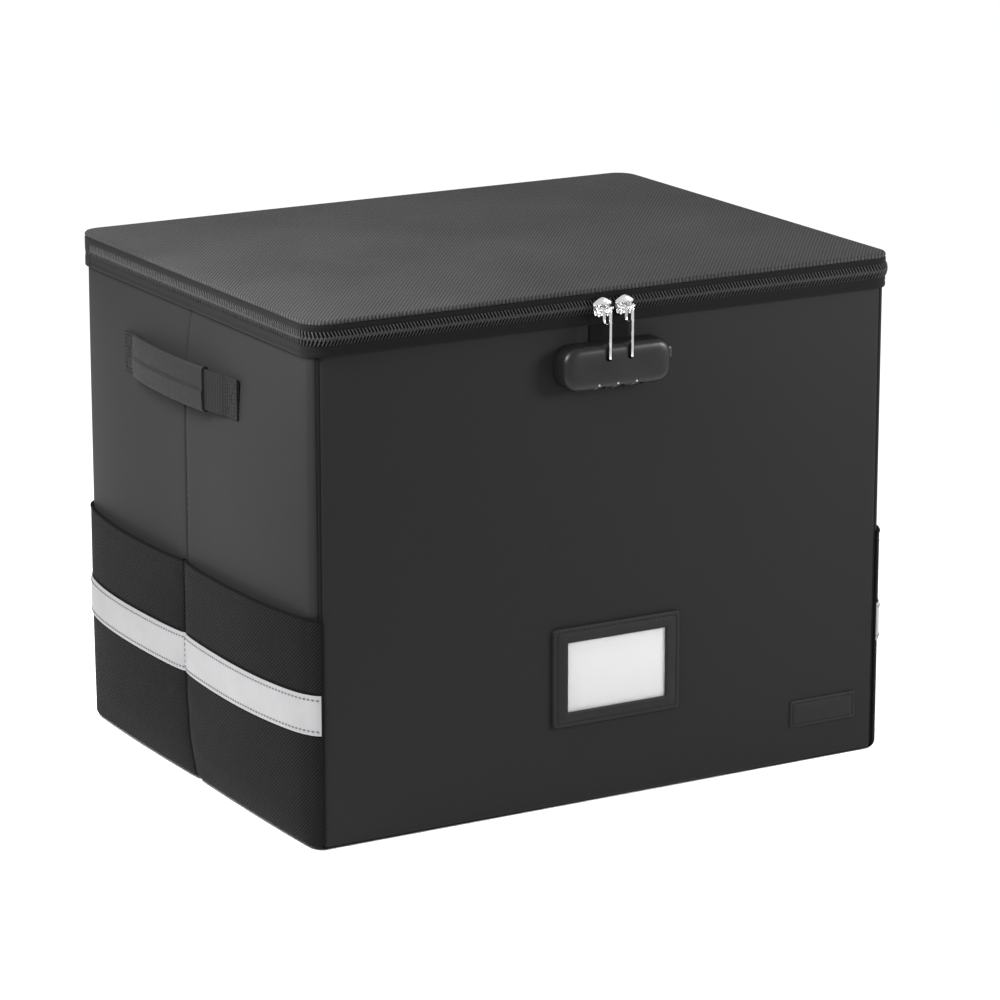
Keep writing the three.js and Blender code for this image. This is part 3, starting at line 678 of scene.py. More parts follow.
webbing, tree, shader = new_finish("webbing")
place = put(tree, "ShaderNodeTexCoord")
split = put(tree, "ShaderNodeSeparateXYZ", {"Vector": place.outputs["Object"]})
lengthwise = put(tree, "ShaderNodeCombineXYZ", {"X": split.outputs["Y"], "Y": split.outputs["Z"]})
ribs = put(tree, "ShaderNodeTexWave", {"Vector": lengthwise.outputs["Vector"],
                                       "Scale": WAVE_PERIOD / 0.0023, "Distortion": 1.2,
                                       "Detail Scale": 3.0}, wave_type="BANDS")
yarn = put(tree, "ShaderNodeTexWave", {"Vector": lengthwise.outputs["Vector"],
                                       "Scale": WAVE_PERIOD / 0.0015, "Distortion": 1.0},
           wave_type="BANDS", bands_direction="Y")
height = put(tree, "ShaderNodeMath", {0: ribs.outputs["Fac"], 1: yarn.outputs["Fac"]},
             operation="ADD")
tone = put(tree, "ShaderNodeMapRange", {"Value": height.outputs["Value"], "From Max": 2.0})
ramp = put(tree, "ShaderNodeValToRGB", {"Fac": tone.outputs["Result"]})
ramp.color_ramp.elements[0].color = (0.002, 0.002, 0.002, 1)
ramp.color_ramp.elements[1].color = (0.008, 0.008, 0.0082, 1)
tree.links.new(ramp.outputs["Color"], shader.inputs["Base Color"])
bump = put(tree, "ShaderNodeBump", {"Height": height.outputs["Value"], "Strength": 0.8,
                                    "Distance": 0.0003})
tree.links.new(bump.outputs["Normal"], shader.inputs["Normal"])
shine = put(tree, "ShaderNodeMapRange", {"Value": yarn.outputs["Fac"], "To Min": 0.6, "To Max": 0.8})
tree.links.new(shine.outputs["Result"], shader.inputs["Roughness"])
shader.inputs["Sheen Weight"].default_value = 0.02
shader.inputs["Specular IOR Level"].default_value = 0.06


def grained(name, colour, rough, pore=0.0011, depth=0.00012, contrast=0.16):
    """A coated trim with a pressed leather grain, slightly paler where it rubs."""
    finish, tree, shader = new_finish(name)
    place = put(tree, "ShaderNodeTexCoord")
    pores = put(tree, "ShaderNodeTexVoronoi", {"Vector": place.outputs["Object"],
                                               "Scale": 1 / pore}, feature="SMOOTH_F1")
    creases = put(tree, "ShaderNodeTexNoise", {"Vector": place.outputs["Object"], "Scale": 260.0,
                                               "Detail": 5.0})
    height = put(tree, "ShaderNodeMath", {0: pores.outputs["Distance"], 1: creases.outputs["Fac"]},
                 operation="ADD")
    shade = put(tree, "ShaderNodeMapRange", {"Value": height.outputs["Value"], "From Min": 0.3,
                                             "From Max": 1.3, "To Min": 1 - contrast,
                                             "To Max": 1 + contrast})
    rub = put(tree, "ShaderNodeNewGeometry")
    worn = put(tree, "ShaderNodeMapRange", {"Value": rub.outputs["Pointiness"], "From Min": 0.5,
                                            "From Max": 0.6, "To Min": 0.0, "To Max": 0.35})
    tint = put(tree, "ShaderNodeMix", {"Factor": 1.0}, data_type="RGBA", blend_type="MULTIPLY")
    tint.inputs[6].default_value = (*colour, 1)
    tree.links.new(shade.outputs["Result"], tint.inputs[7])
    paler = put(tree, "ShaderNodeMix", {"Factor": worn.outputs["Result"]}, data_type="RGBA")
    tree.links.new(tint.outputs[2], paler.inputs[6])
    paler.inputs[7].default_value = (*[c * 1.9 for c in colour], 1)
    tree.links.new(paler.outputs[2], shader.inputs["Base Color"])
    gloss = put(tree, "ShaderNodeMapRange", {"Value": creases.outputs["Fac"], "From Min": 0.3,
                                             "From Max": 0.7, "To Min": rough - 0.07,
                                             "To Max": rough + 0.07})
    tree.links.new(gloss.outputs["Result"], shader.inputs["Roughness"])
    bump = put(tree, "ShaderNodeBump", {"Height": height.outputs["Value"], "Strength": 0.5,
                                        "Distance": depth})
    tree.links.new(bump.outputs["Normal"], shader.inputs["Normal"])
    shader.inputs["Specular IOR Level"].default_value = 0.13
    return finish


grip_sleeve = grained("grip_sleeve", (0.006, 0.006, 0.0062), 0.55)
SLEEVE_HALF = 14.0
sleeve_outer = rounded_section(-1.5, WEBBING_T + 1.7, SLEEVE_HALF, 2.1)
lap = [(WEBBING_T + 1.7, -0.6), (WEBBING_T + 2.25, -0.9), (WEBBING_T + 2.3, -2.2),
       (WEBBING_T + 2.0, -6.5)]
sleeve_outer = [p for p in sleeve_outer if p[1] > 0 or p[0] < WEBBING_T] + \
    [(WEBBING_T + 1.7, -12.2), (WEBBING_T + 1.85, -9.5)] + list(reversed(lap))
hollow = rounded_section(-0.3, WEBBING_T + 0.3, SLEEVE_HALF - 1.2, 0.9, 3)
for label, side in (("left", -1), ("right", 1)):
    webbing_section = rounded_section(0.0, WEBBING_T, 12.5, 0.75, 3)
    points, faces = strap_piece(side, strap_frames(HANDLE_Y0, HANDLE_Y1, 2.4), webbing_section)
    strap = piece(f"{label}_webbing", points, faces, "box", webbing,
                  (f"{label}_handle_strap",))
    frames = strap_frames(SLEEVE_Y0, SLEEVE_Y1, 2.5)
    flared = []
    for i, (out, y, push, slide) in enumerate(frames):
        flared.append((out, y, push, slide))
    points, faces = strap_piece(side, flared, sleeve_outer)
    sleeve = piece(f"{label}_grip_sleeve", points, faces, "box", grip_sleeve,
                   (f"{label}_handle_sleeve",))
    rows = []
    for y0, y1 in ((HANDLE_Y0 + 2, HANDLE_Y0 + 12), (HANDLE_Y1 - 12, HANDLE_Y1 - 2)):
        def face_point(y, z):
            return (side * (HALF_W + strap_stand_off(y) + WEBBING_T + 0.05), y, HANDLE_Z + z)
        corners = [(y0, -10.5), (y1, -10.5), (y1, 10.5), (y0, 10.5), (y0, -10.5)]
        for (ya, za), (yb, zb) in list(zip(corners, corners[1:])) + [((y0, -10.5), (y1, 10.5)),
                                                                   ((y1, -10.5), (y0, 10.5))]:
            line = [face_point(ya + (yb - ya) * t / 6, za + (zb - za) * t / 6) for t in range(7)]
            rows.append(stitch_bars(line, lambda i: (side, 0, 0), pitch=2.4, length=1.9, r=0.25))
    line = [(side * (HALF_W + strap_stand_off(y) + WEBBING_T + 1.75), y, HANDLE_Z + 0.9)
            for y in heights(SLEEVE_Y0 + 3, SLEEVE_Y1 - 3, 3.0)]
    rows.append(stitch_bars(line, lambda i: (side, 0, 0), pitch=3.4, length=2.6, r=0.22))
    points, faces = joined(rows)
    piece(f"{label}_handle_stitches", points, faces, "box", black_thread)

# ---- Label holder -------------------------------------------------------------------------------
# A grained frame sewn to the front on three sides, with a clear film behind its window and a white
# card that pushes in from above.
FRONT_Y = -HALF_D
frame_low, frame_high = (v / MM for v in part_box("label_frame"))
FRAME_CX, FRAME_CZ = (frame_low.x + frame_high.x) / 2, (frame_low.z + frame_high.z) / 2
FRAME_HX, FRAME_HZ = (frame_high.x - frame_low.x) / 2, (frame_high.z - frame_low.z) / 2
WINDOW_HX, WINDOW_HZ = 34.6, 21.9
WINDOW_DX, WINDOW_DZ = 0.3, -0.3


def on_front(cx, cz, lift=0.0):
    """Places a flat (across, up) outline with its thickness standing out of the front wall."""
    return lambda a, b, h: (cx + a, FRONT_Y - lift - h, cz + b)


def front_plate(cx, cz, half_x, half_z, r, levels, step=6.0):
    """A rounded plate on the front wall; levels are (inset, thickness) pairs from the wall out."""
    points, faces = plate_rings(
        lambda inset: rounded_path(half_x, half_z, r, step=step, arc=6, inset=inset), levels)
    place = on_front(cx, cz)
    return [place(*p) for p in points], faces


trim_grain = grained("trim_grain", (0.005, 0.005, 0.0052), 0.6)
rings = [((FRAME_HX, FRAME_HZ, 2.5), 0.25), ((FRAME_HX, FRAME_HZ, 2.5), 1.9),
         ((FRAME_HX - 0.25, FRAME_HZ - 0.25, 2.3), 2.35), ((FRAME_HX - 0.8, FRAME_HZ - 0.8, 2), 2.6),
         ((FRAME_HX - 2.0, FRAME_HZ - 2.0, 1.5), 2.55), ((FRAME_HX - 2.6, FRAME_HZ - 2.6, 1.4), 2.3),
         ((FRAME_HX - 3.2, FRAME_HZ - 3.2, 1.3), 2.6), ((WINDOW_HX + 2.4, WINDOW_HZ + 2.4, 1.2), 2.75),
         ((WINDOW_HX + 1.2, WINDOW_HZ + 1.2, 1.1), 2.9), ((WINDOW_HX + 0.4, WINDOW_HZ + 0.4, 0.9), 2.6),
         ((WINDOW_HX, WINDOW_HZ, 0.8), 2.1), ((WINDOW_HX, WINDOW_HZ, 0.8), 1.6),
         ((WINDOW_HX + 3, WINDOW_HZ + 3, 0.8), 1.55), ((WINDOW_HX + 3, WINDOW_HZ + 3, 0.8), 0.25)]
points, faces = [], []
count = 0
for n, (size, height) in enumerate(rings):
    shift = (WINDOW_DX, WINDOW_DZ) if n >= 7 else (0, 0)
    ring = rounded_path(*size, step=9999, arc=6)
    count = len(ring)
    points += [on_front(FRAME_CX + shift[0], FRAME_CZ + shift[1])(p[0], p[1], height) for p in ring]
for i in range(len(rings)):
    for j in range(count):
        a, b = i * count, (i + 1) % len(rings) * count
        faces.append((a + j, a + (j + 1) % count, b + (j + 1) % count, b + j))
piece("label_holder", points, faces, "box", trim_grain, ("label_frame",))
loop_line = rounded_path(FRAME_HX - 2.6, FRAME_HZ - 2.6, 1.4, step=3.0, arc=4)
line = [on_front(FRAME_CX, FRAME_CZ)(p[0], p[1], 2.35) for p in loop_line + loop_line[:1]]
points, faces = stitch_bars(line, lambda i: (0, -1, 0), pitch=3.0, length=2.3, r=0.26)
piece("label_holder_stitches", points, faces, "box", black_thread)

card_finish, tree, shader = new_finish("label_card_stock")
place = put(tree, "ShaderNodeTexCoord")
fibre = put(tree, "ShaderNodeTexNoise", {"Vector": place.outputs["Object"], "Scale": 700.0,
                                         "Detail": 5.0})
ramp = put(tree, "ShaderNodeValToRGB", {"Fac": fibre.outputs["Fac"]})
ramp.color_ramp.elements[0].color = (0.245, 0.245, 0.243, 1)
ramp.color_ramp.elements[1].color = (0.272, 0.272, 0.270, 1)
tree.links.new(ramp.outputs["Color"], shader.inputs["Base Color"])
bump = put(tree, "ShaderNodeBump", {"Height": fibre.outputs["Fac"], "Strength": 0.08,
                                    "Distance": 0.00005})
tree.links.new(bump.outputs["Normal"], shader.inputs["Normal"])
rough = put(tree, "ShaderNodeMapRange", {"Value": fibre.outputs["Fac"], "To Min": 0.75,
                                         "To Max": 0.9})
tree.links.new(rough.outputs["Result"], shader.inputs["Roughness"])
card_low, card_high = (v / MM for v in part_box("label_card"))
points, faces = front_plate((card_low.x + card_high.x) / 2, (card_low.z + card_high.z) / 2,
                            (card_high.x - card_low.x) / 2, (card_high.z - card_low.z) / 2, 1.0,
                            [(0.1, 0.40), (0, 0.46), (0, 0.74), (0.1, 0.8)])
piece("blank_card", points, faces, "card", card_finish, ("label_card",))

film_finish, tree, shader = new_finish("clear_film")
place = put(tree, "ShaderNodeTexCoord")
waves = put(tree, "ShaderNodeTexNoise", {"Vector": place.outputs["Object"], "Scale": 40.0})
bump = put(tree, "ShaderNodeBump", {"Height": waves.outputs["Fac"], "Strength": 0.05,
                                    "Distance": 0.0004})
tree.links.new(bump.outputs["Normal"], shader.inputs["Normal"])
smear = put(tree, "ShaderNodeMapRange", {"Value": waves.outputs["Fac"], "To Min": 0.06,
                                         "To Max": 0.2})
tree.links.new(smear.outputs["Result"], shader.inputs["Roughness"])
shader.inputs["Base Color"].default_value = (0.95, 0.96, 0.97, 1)
shader.inputs["Alpha"].default_value = 0.06
points, faces = front_plate(FRAME_CX + WINDOW_DX, FRAME_CZ + WINDOW_DZ, WINDOW_HX + 2.6,
                            WINDOW_HZ + 2.6, 0.8, [(0.1, 1.1), (0, 1.15), (0, 1.35), (0.1, 1.4)])
piece("label_film", points, faces, "box", film_finish, ("label_window",))

# ---- Sewn patch ---------------------------------------------------------------------------------
# A small blank trim patch at the lower right of the front, sewn down round its edge.
patch_low, patch_high = (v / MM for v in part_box("blank_patch"))
PATCH_CX, PATCH_CZ = (patch_low.x + patch_high.x) / 2, (patch_low.z + patch_high.z) / 2
PATCH_HX, PATCH_HZ = (patch_high.x - patch_low.x) / 2, (patch_high.z - patch_low.z) / 2
points, faces = front_plate(PATCH_CX, PATCH_CZ, PATCH_HX, PATCH_HZ, 1.6,
                            [(0, 0.2), (0, 0.75), (0.25, 1.1), (0.8, 1.3), (1.6, 1.2), (2.1, 1.0),
                             (2.6, 1.2), (3.6, 1.45), (5.5, 1.55)], step=4.0)
piece("blank_trim_patch", points, faces, "box", trim_grain, ("blank_patch",))
loop_line = rounded_path(PATCH_HX - 2.1, PATCH_HZ - 2.1, 1.0, step=3.0, arc=3)
line = [on_front(PATCH_CX, PATCH_CZ)(p[0], p[1], 1.05) for p in loop_line + loop_line[:1]]
points, faces = stitch_bars(line, lambda i: (0, -1, 0), pitch=2.8, length=2.1, r=0.24)
piece("patch_stitches", points, faces, "box", black_thread)

# ---- Lining and base board ----------------------------------------------------------------------
# The inside is a tub of foil-faced glass cloth over the boards, with a bound mouth. A loose padded
# board lies on the floor, with a ribbon tab to lift it by.
LINING_X, LINING_Y = 193.2, 149.2
lining_path = rounded_path(LINING_X, LINING_Y, 5.0, step=8.0, arc=6)


def lining_drift(x, y, z):
    wave = math.sin(x / 23 + z / 37) * math.sin(y / 29 - z / 31) + 0.6 * math.sin((x - y) / 13 + z / 19)
    return -0.25 + 0.35 * wave * min(1.0, (296 - z) / 30, (z - 5) / 12)


foil_cloth, tree, shader = new_finish("foil_cloth")
cloth = weave_coordinates(tree, False)
warp = yarn_bands(tree, cloth, 0, 2.2)
weft = yarn_bands(tree, cloth, 90, 2.2)
height = put(tree, "ShaderNodeMath", {0: warp.outputs["Fac"], 1: weft.outputs["Fac"]},
             operation="MAXIMUM")
crush = put(tree, "ShaderNodeTexNoise", {"Vector": cloth.outputs["Vector"], "Scale": 60.0,
                                         "Detail": 6.0})
ramp = put(tree, "ShaderNodeValToRGB", {"Fac": crush.outputs["Fac"]})
ramp.color_ramp.elements[0].color = (0.10, 0.10, 0.104, 1)
ramp.color_ramp.elements[1].color = (0.20, 0.20, 0.205, 1)
tree.links.new(ramp.outputs["Color"], shader.inputs["Base Color"])
relief = put(tree, "ShaderNodeMath", {0: height.outputs["Value"], 1: crush.outputs["Fac"]},
             operation="ADD")
bump = put(tree, "ShaderNodeBump", {"Height": relief.outputs["Value"], "Strength": 0.6,
                                    "Distance": 0.0003})
tree.links.new(bump.outputs["Normal"], shader.inputs["Normal"])
gloss = put(tree, "ShaderNodeMapRange", {"Value": crush.outputs["Fac"], "To Min": 0.3, "To Max": 0.5})
tree.links.new(gloss.outputs["Result"], shader.inputs["Roughness"])
shader.inputs["Metallic"].default_value = 0.6
lining_section = [(0.0, z) for z in heights(5.5, 296.0, 10.0)]
lining_section = [(out + 1.2, z) for out, z in lining_section] + \
    [(0.0, z) for z in reversed(heights(5.5, 296.0, 10.0))]
points, faces = sweep(lining_path, lining_section, drift=lining_drift)
piece("wall_lining", points, faces, "box", foil_cloth,
      ("front_liner", "back_liner", "left_liner", "right_liner"))
points, faces = plate_rings(
    lambda inset: rounded_path(191.5, 147.5, 4, step=12.0, inset=inset),
    [(0.5, 5.45), (0, 5.8), (0, 6.5), (0.6, 6.9), (2.5, 7.0), (4.0, 6.7), (5.5, 7.0)])
piece("floor_lining", points, faces, "box", foil_cloth, ("floor_liner",))

# This section is the tape binding round the mouth of the box.
binding_and_shade_section = [(-0.2, 298.1), (-0.1, 297.0), (-0.4, 296.0), (-1.2, 295.4), (-4.4, 295.4),
                   (-5.6, 294.8), (-6.1, 295.6), (-6.0, 297.4), (-5.3, 298.1), (-3.2, 298.35),
                   (-1.2, 298.3)]
binding_path = rounded_path(HALF_W - 1.4, HALF_D - 1.4, CORNER_R - 1.4, step=10.0)
points, faces = sweep(binding_path, binding_and_shade_section)
piece("mouth_binding", points, faces, "box", tape_black, ("rim_binding",))

base_cloth = woven("base_cloth", (0.040, 0.040, 0.042), 1.6, (45, -45), 0.15, 0.75, lying=True,
                   contrast=0.25)
points, faces = plate_rings(
    lambda inset: rounded_path(190.3, 146.3, 5, step=12.0, arc=6, inset=inset),
    [(1.2, 7.35), (0.3, 7.8), (0, 8.7), (0.15, 9.7), (0.9, 10.4), (2.2, 10.7), (5.0, 10.75),
     (6.0, 10.55), (7.0, 10.75)])
piece("base_board_cover", points, faces, "base_board", base_cloth, ("base_board",))
loop_line = rounded_path(184.3, 140.3, 3, step=6.0, arc=4)
points, faces = stitch_bars([(p[0], p[1], 10.58) for p in loop_line + loop_line[:1]],
                            lambda i: (0, 0, 1), pitch=5.0, length=3.8)
piece("base_board_stitches", points, faces, "base_board", black_thread)
TAB_HALF = 9.0
points, faces = [], []
tab_line = [(-150, 10.9), (-146, 11.3), (-141, 13.2), (-136, 16.2), (-131, 17.6), (-126, 16.6),
            (-121, 13.6), (-116, 11.4), (-112, 10.9)]
for x, z in tab_line:
    points += [(x, -TAB_HALF, z), (x, TAB_HALF, z), (x, TAB_HALF, z + 0.9), (x, -TAB_HALF, z + 0.9)]
for i in range(len(tab_line) - 1):
    for j in range(4):
        faces.append((i * 4 + j, i * 4 + (j + 1) % 4, (i + 1) * 4 + (j + 1) % 4, (i + 1) * 4 + j))
faces += [(0, 1, 2, 3), tuple((len(tab_line) - 1) * 4 + j for j in range(4))]
piece("base_board_tab", points, faces, "base_board", webbing)

# ---- Zip ----------------------------------------------------------------------------------------
# A heavy coil zip runs round the front and both sides. Each half is a woven tape, folded over a cord
# where it joins the wall or the lid, with a row of slanting nylon coil loops on its outer face.
BAND_X, BAND_Y = HALF_W + 3.0, HALF_D + 3.0
BAND_R = 14.0
ZIP_END_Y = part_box("lower_zip_tape")[1].y / MM
tape_low_z0, tape_low_z1 = (v.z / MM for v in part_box("lower_zip_tape"))
tape_up_z0, tape_up_z1 = (v.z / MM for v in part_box("upper_zip_tape"))
ZIP_MID = (tape_low_z1 + tape_up_z0) / 2
band_path = rounded_path(BAND_X, BAND_Y, BAND_R, step=6.0, arc=12)


def open_band(limit_y, front):
    """The part of the band in front of a line across the box, or behind it."""
    kept = [p for p in band_path if (p[1] < limit_y) == front]
    if front:
        return [(-BAND_X, limit_y, -1.0, 0.0)] + kept + [(BAND_X, limit_y, 1.0, 0.0)]
    cut = next(i for i, p in enumerate(kept) if p[0] > 0 and p[1] < BAND_Y - 0.01 and p[2] > 0.5)
    turned = kept[cut:] + kept[:cut]
    return [(BAND_X, limit_y, 1.0, 0.0)] + turned + [(-BAND_X, limit_y, -1.0, 0.0)]


lower_tape_section = [(-3.3, tape_low_z0 + 0.5), (-2.8, tape_low_z0), (-1.0, tape_low_z0 - 0.1),
                      (-0.3, tape_low_z0 + 0.15), (0.0, tape_low_z0 + 0.9), (0.05, tape_low_z0 + 2.2),
                      (-0.15, tape_low_z0 + 3.0), (-0.2, tape_low_z0 + 3.6), (0.0, tape_low_z0 + 4.4),
                      (0.0, ZIP_MID - 4.0), (-0.5, ZIP_MID - 3.6), (-0.6, ZIP_MID - 0.3),
                      (-1.9, ZIP_MID - 0.3), (-3.3, ZIP_MID - 3.5)]
upper_tape_section = [(-1.9, ZIP_MID + 0.3), (-0.6, ZIP_MID + 0.3), (-0.5, ZIP_MID + 3.6),
                      (0.0, ZIP_MID + 4.0), (0.1, tape_up_z1 - 2.2), (0.1, tape_up_z1 - 0.9),
                      (-0.3, tape_up_z1 + 0.05), (-3.3, tape_up_z1 - 0.1), (-3.3, ZIP_MID + 3.0)]
zip_run = open_band(ZIP_END_Y, True)
for label, section, body in (("lower", lower_tape_section, "box"), ("upper", upper_tape_section, "lid")):
    points, faces = sweep(zip_run, section, closed=False)
    piece(f"{label}_zip_fabric", points, faces, body, tape_black,
          (f"{label}_zip_tape",))

COIL_PITCH = 2.25
COIL_WIRE = 0.42
COIL_LEAN = 0.95


def evenly(path, pitch, start):
    """Spots a fixed distance apart along an open path, with their outward directions."""
    spots, carried = [], start
    for p, q in zip(path, path[1:]):
        length = math.dist(p[:2], q[:2])
        while carried < length:
            t = carried / length
            spots.append(tuple(p[k] + (q[k] - p[k]) * t for k in range(4)))
            carried += pitch
        carried -= length
    return spots


def coil_row(up, start):
    """One row of coil loops: each leans along the zip and turns over into the other row."""
    points, faces = [], []
    bend = [(-0.55, 4.05, 0.15), (-0.35, 3.3, 0.75), (-0.05, 1.9, 1.15), (0.25, 0.5, 1.4),
            (0.42, -0.45, 1.25), (0.3, -0.75, 0.75), (0.1, -0.4, 0.35)]
    for x, y, nx, ny in evenly(zip_run, COIL_PITCH, start):
        along = Vector((-ny, nx, 0))
        out = Vector((nx, ny, 0))
        base = len(points)
        line = [Vector((x, y, ZIP_MID)) + along * (lean * COIL_LEAN * 2.0) + out * (rise - 0.35)
                + Vector((0, 0, 1)) * (up * height) for lean, height, rise in bend]
        for i, spot in enumerate(line):
            forward = (line[min(i + 1, len(line) - 1)] - line[max(i - 1, 0)]).normalized()
            side = forward.cross(out).normalized()
            top = side.cross(forward).normalized()
            wide = 1.25 if 2 < i < 6 else 1.0
            for k in range(6):
                angle = math.pi / 3 * k
                points.append(tuple(spot + side * (COIL_WIRE * wide * math.cos(angle))
                                    + top * (COIL_WIRE * math.sin(angle))))
        for i in range(len(line) - 1):
            for k in range(6):
                a, b = base + i * 6, base + (i + 1) * 6
                faces.append((a + k, a + (k + 1) % 6, b + (k + 1) % 6, b + k))
        faces.append(tuple(base + k for k in range(6)))
        faces.append(tuple(base + (len(line) - 1) * 6 + k for k in range(6)))
    return points, faces


coil_nylon, tree, shader = new_finish("coil_nylon")
place = put(tree, "ShaderNodeTexCoord")
scuff = put(tree, "ShaderNodeTexNoise", {"Vector": place.outputs["Object"], "Scale": 420.0,
                                         "Detail": 4.0})
ramp = put(tree, "ShaderNodeValToRGB", {"Fac": scuff.outputs["Fac"]})
ramp.color_ramp.elements[0].color = (0.009, 0.009, 0.0095, 1)
ramp.color_ramp.elements[1].color = (0.036, 0.036, 0.037, 1)
tree.links.new(ramp.outputs["Color"], shader.inputs["Base Color"])
gloss = put(tree, "ShaderNodeMapRange", {"Value": scuff.outputs["Fac"], "To Min": 0.45,
                                         "To Max": 0.6})
tree.links.new(gloss.outputs["Result"], shader.inputs["Roughness"])
shader.inputs["Specular IOR Level"].default_value = 0.06
bump = put(tree, "ShaderNodeBump", {"Height": scuff.outputs["Fac"], "Strength": 0.2,
                                    "Distance": 0.00005})
tree.links.new(bump.outputs["Normal"], shader.inputs["Normal"])
for label, up, body, start in (("lower", -1, "box", 1.0), ("upper", 1, "lid", 1.0 + COIL_PITCH / 2)):
    points, faces = coil_row(up, start)
    piece(f"{label}_coil_loops", points, faces, body, coil_nylon,
          (f"{label}_zip_coil",))

# ---- Hinge fabric -------------------------------------------------------------------------------
# Behind the zip's ends the band is one strip of folded tape, sewn to the wall below and the lid
# above. The lid turns on its middle, where the strip has a slight crease; the strip is drawn fixed.
hinge = next(j for j in frame["joints"] if j["name"] == "lid_hinge")
HINGE_Z = hinge["pos_m"][2] / MM
hinge_levels = [tape_low_z0 + 0.6] + [HINGE_Z + 0.75 * k for k in range(-5, 6)] + [tape_up_z1 - 0.6]
hinge_section = [(-1.5, tape_low_z0 + 0.1), (-0.5, tape_low_z0)] + [
    (0.0 - 0.3 * max(0.0, 1 - abs(z - HINGE_Z) / 3), z) for z in hinge_levels] + \
    [(-0.5, tape_up_z1), (-1.5, tape_up_z1 - 0.1)] + [(-1.5, z) for z in reversed(hinge_levels)]
points, faces = sweep(open_band(ZIP_END_Y + 0.3, False), hinge_section, closed=False)
hinge_strip = piece("hinge_strip", points, faces, None, tape_black,
                    ("hinge_tape_lower", "hinge_tape_upper"))
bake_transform(hinge_strip)

# ---- Lid ----------------------------------------------------------------------------------------
# A flat board and a felt pad between a dark grey twill top, turned over a rolled edge, and a foil
# lining. The pad crowns the top slightly.
LID_CROWN = 1.5
lid_low, lid_high = (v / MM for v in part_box("lid_skin"))
LID_TOP = lid_high.z
edge_levels = [(0.9, lid_low.z), (0.25, lid_low.z + 0.2), (0.0, lid_low.z + 0.7),
               (0.05, lid_low.z + 1.3), (0.35, lid_low.z + 1.95), (0.95, lid_low.z + 2.45),
               (1.9, lid_low.z + 2.68), (3.2, lid_low.z + 2.74)]
ring_of = [rounded_path(BAND_X, BAND_Y, BAND_R, step=9.0, arc=12, inset=inset)
           for inset, height in edge_levels]
points = [(p[0], p[1], height) for ring, (inset, height) in zip(ring_of, edge_levels) for p in ring]
count = len(ring_of[0])
last_ring = ring_of[-1]
inward = (0.01, 0.03, 0.06, 0.1, 0.16, 0.24, 0.34, 0.46, 0.6, 0.75, 0.9)
for share in inward:
    crown = LID_CROWN * (1 - (1 - share) ** 3)
    for x, y, nx, ny in last_ring:
        px, py = x * (1 - share), y * (1 - share)
        ripple = 0.22 * math.sin(px / 41 + 0.7) * math.sin(py / 37 + 1.3) * min(1, share * 8)
        points.append((px, py, edge_levels[-1][1] + crown + ripple))
faces = []
rows = len(edge_levels) + len(inward)
for i in range(rows - 1):
    for j in range(count):
        a, b = i * count, (i + 1) * count
        faces.append((a + j, a + (j + 1) % count, b + (j + 1) % count, b + j))
faces.append(tuple(range(count)))
faces.append(tuple((rows - 1) * count + j for j in range(count)))
lid_twill = woven("lid_twill", (0.020, 0.020, 0.0205), 2.0, (38, -52), 0.60, 0.62, lying=True,
                  contrast=0.8, sheen=0.01, gloss_level=0.025)
piece("lid_top_cloth", points, faces, "lid", lid_twill, ("lid_skin",))

lid_liner_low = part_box("lid_liner")[0].z / MM
tray_levels = [(2.6, tape_up_z0 + 1.5), (3.0, 309.5), (4.2, 306.6), (6.4, lid_liner_low + 1.2),
               (8.0, lid_liner_low + 0.3), (10.5, lid_liner_low + 0.45), (12.0, lid_liner_low + 0.2),
               (40.0, lid_liner_low - 0.05)]
points, faces = plate_rings(
    lambda inset: rounded_path(199.5, 155.5, 11, step=12.0, arc=6, inset=inset),
    [(inset, height) for inset, height in reversed(tray_levels)] + [(3.4, tape_up_z0 + 2.4)])
piece("lid_lining", points, faces, "lid", foil_cloth, ("lid_liner", "lid_pad"))
loop_line = rounded_path(188.4, 144.4, 6, step=6.0, arc=4)
points, faces = stitch_bars([(p[0], p[1], lid_liner_low + 0.4) for p in loop_line + loop_line[:1]],
                            lambda i: (0, 0, -1), pitch=5.0, length=3.8)
piece("lid_lining_stitches", points, faces, "lid", black_thread)

board_finish, tree, shader = new_finish("mineral_board")
place = put(tree, "ShaderNodeTexCoord")
fibre = put(tree, "ShaderNodeTexNoise", {"Vector": place.outputs["Object"], "Scale": 180.0,
                                         "Detail": 6.0})
ramp = put(tree, "ShaderNodeValToRGB", {"Fac": fibre.outputs["Fac"]})
ramp.color_ramp.elements[0].color = (0.30, 0.28, 0.24, 1)
ramp.color_ramp.elements[1].color = (0.48, 0.46, 0.40, 1)
tree.links.new(ramp.outputs["Color"], shader.inputs["Base Color"])
bump = put(tree, "ShaderNodeBump", {"Height": fibre.outputs["Fac"], "Strength": 0.5,
                                    "Distance": 0.0003})
tree.links.new(bump.outputs["Normal"], shader.inputs["Normal"])
shader.inputs["Roughness"].default_value = 0.9
for name in ("floor_board", "front_board", "back_board", "left_board_front", "left_board_rear",
             "right_board_front", "right_board_rear", "lid_board"):
    frame["nodes"][name].data.materials.clear()
    frame["nodes"][name].data.materials.append(board_finish)

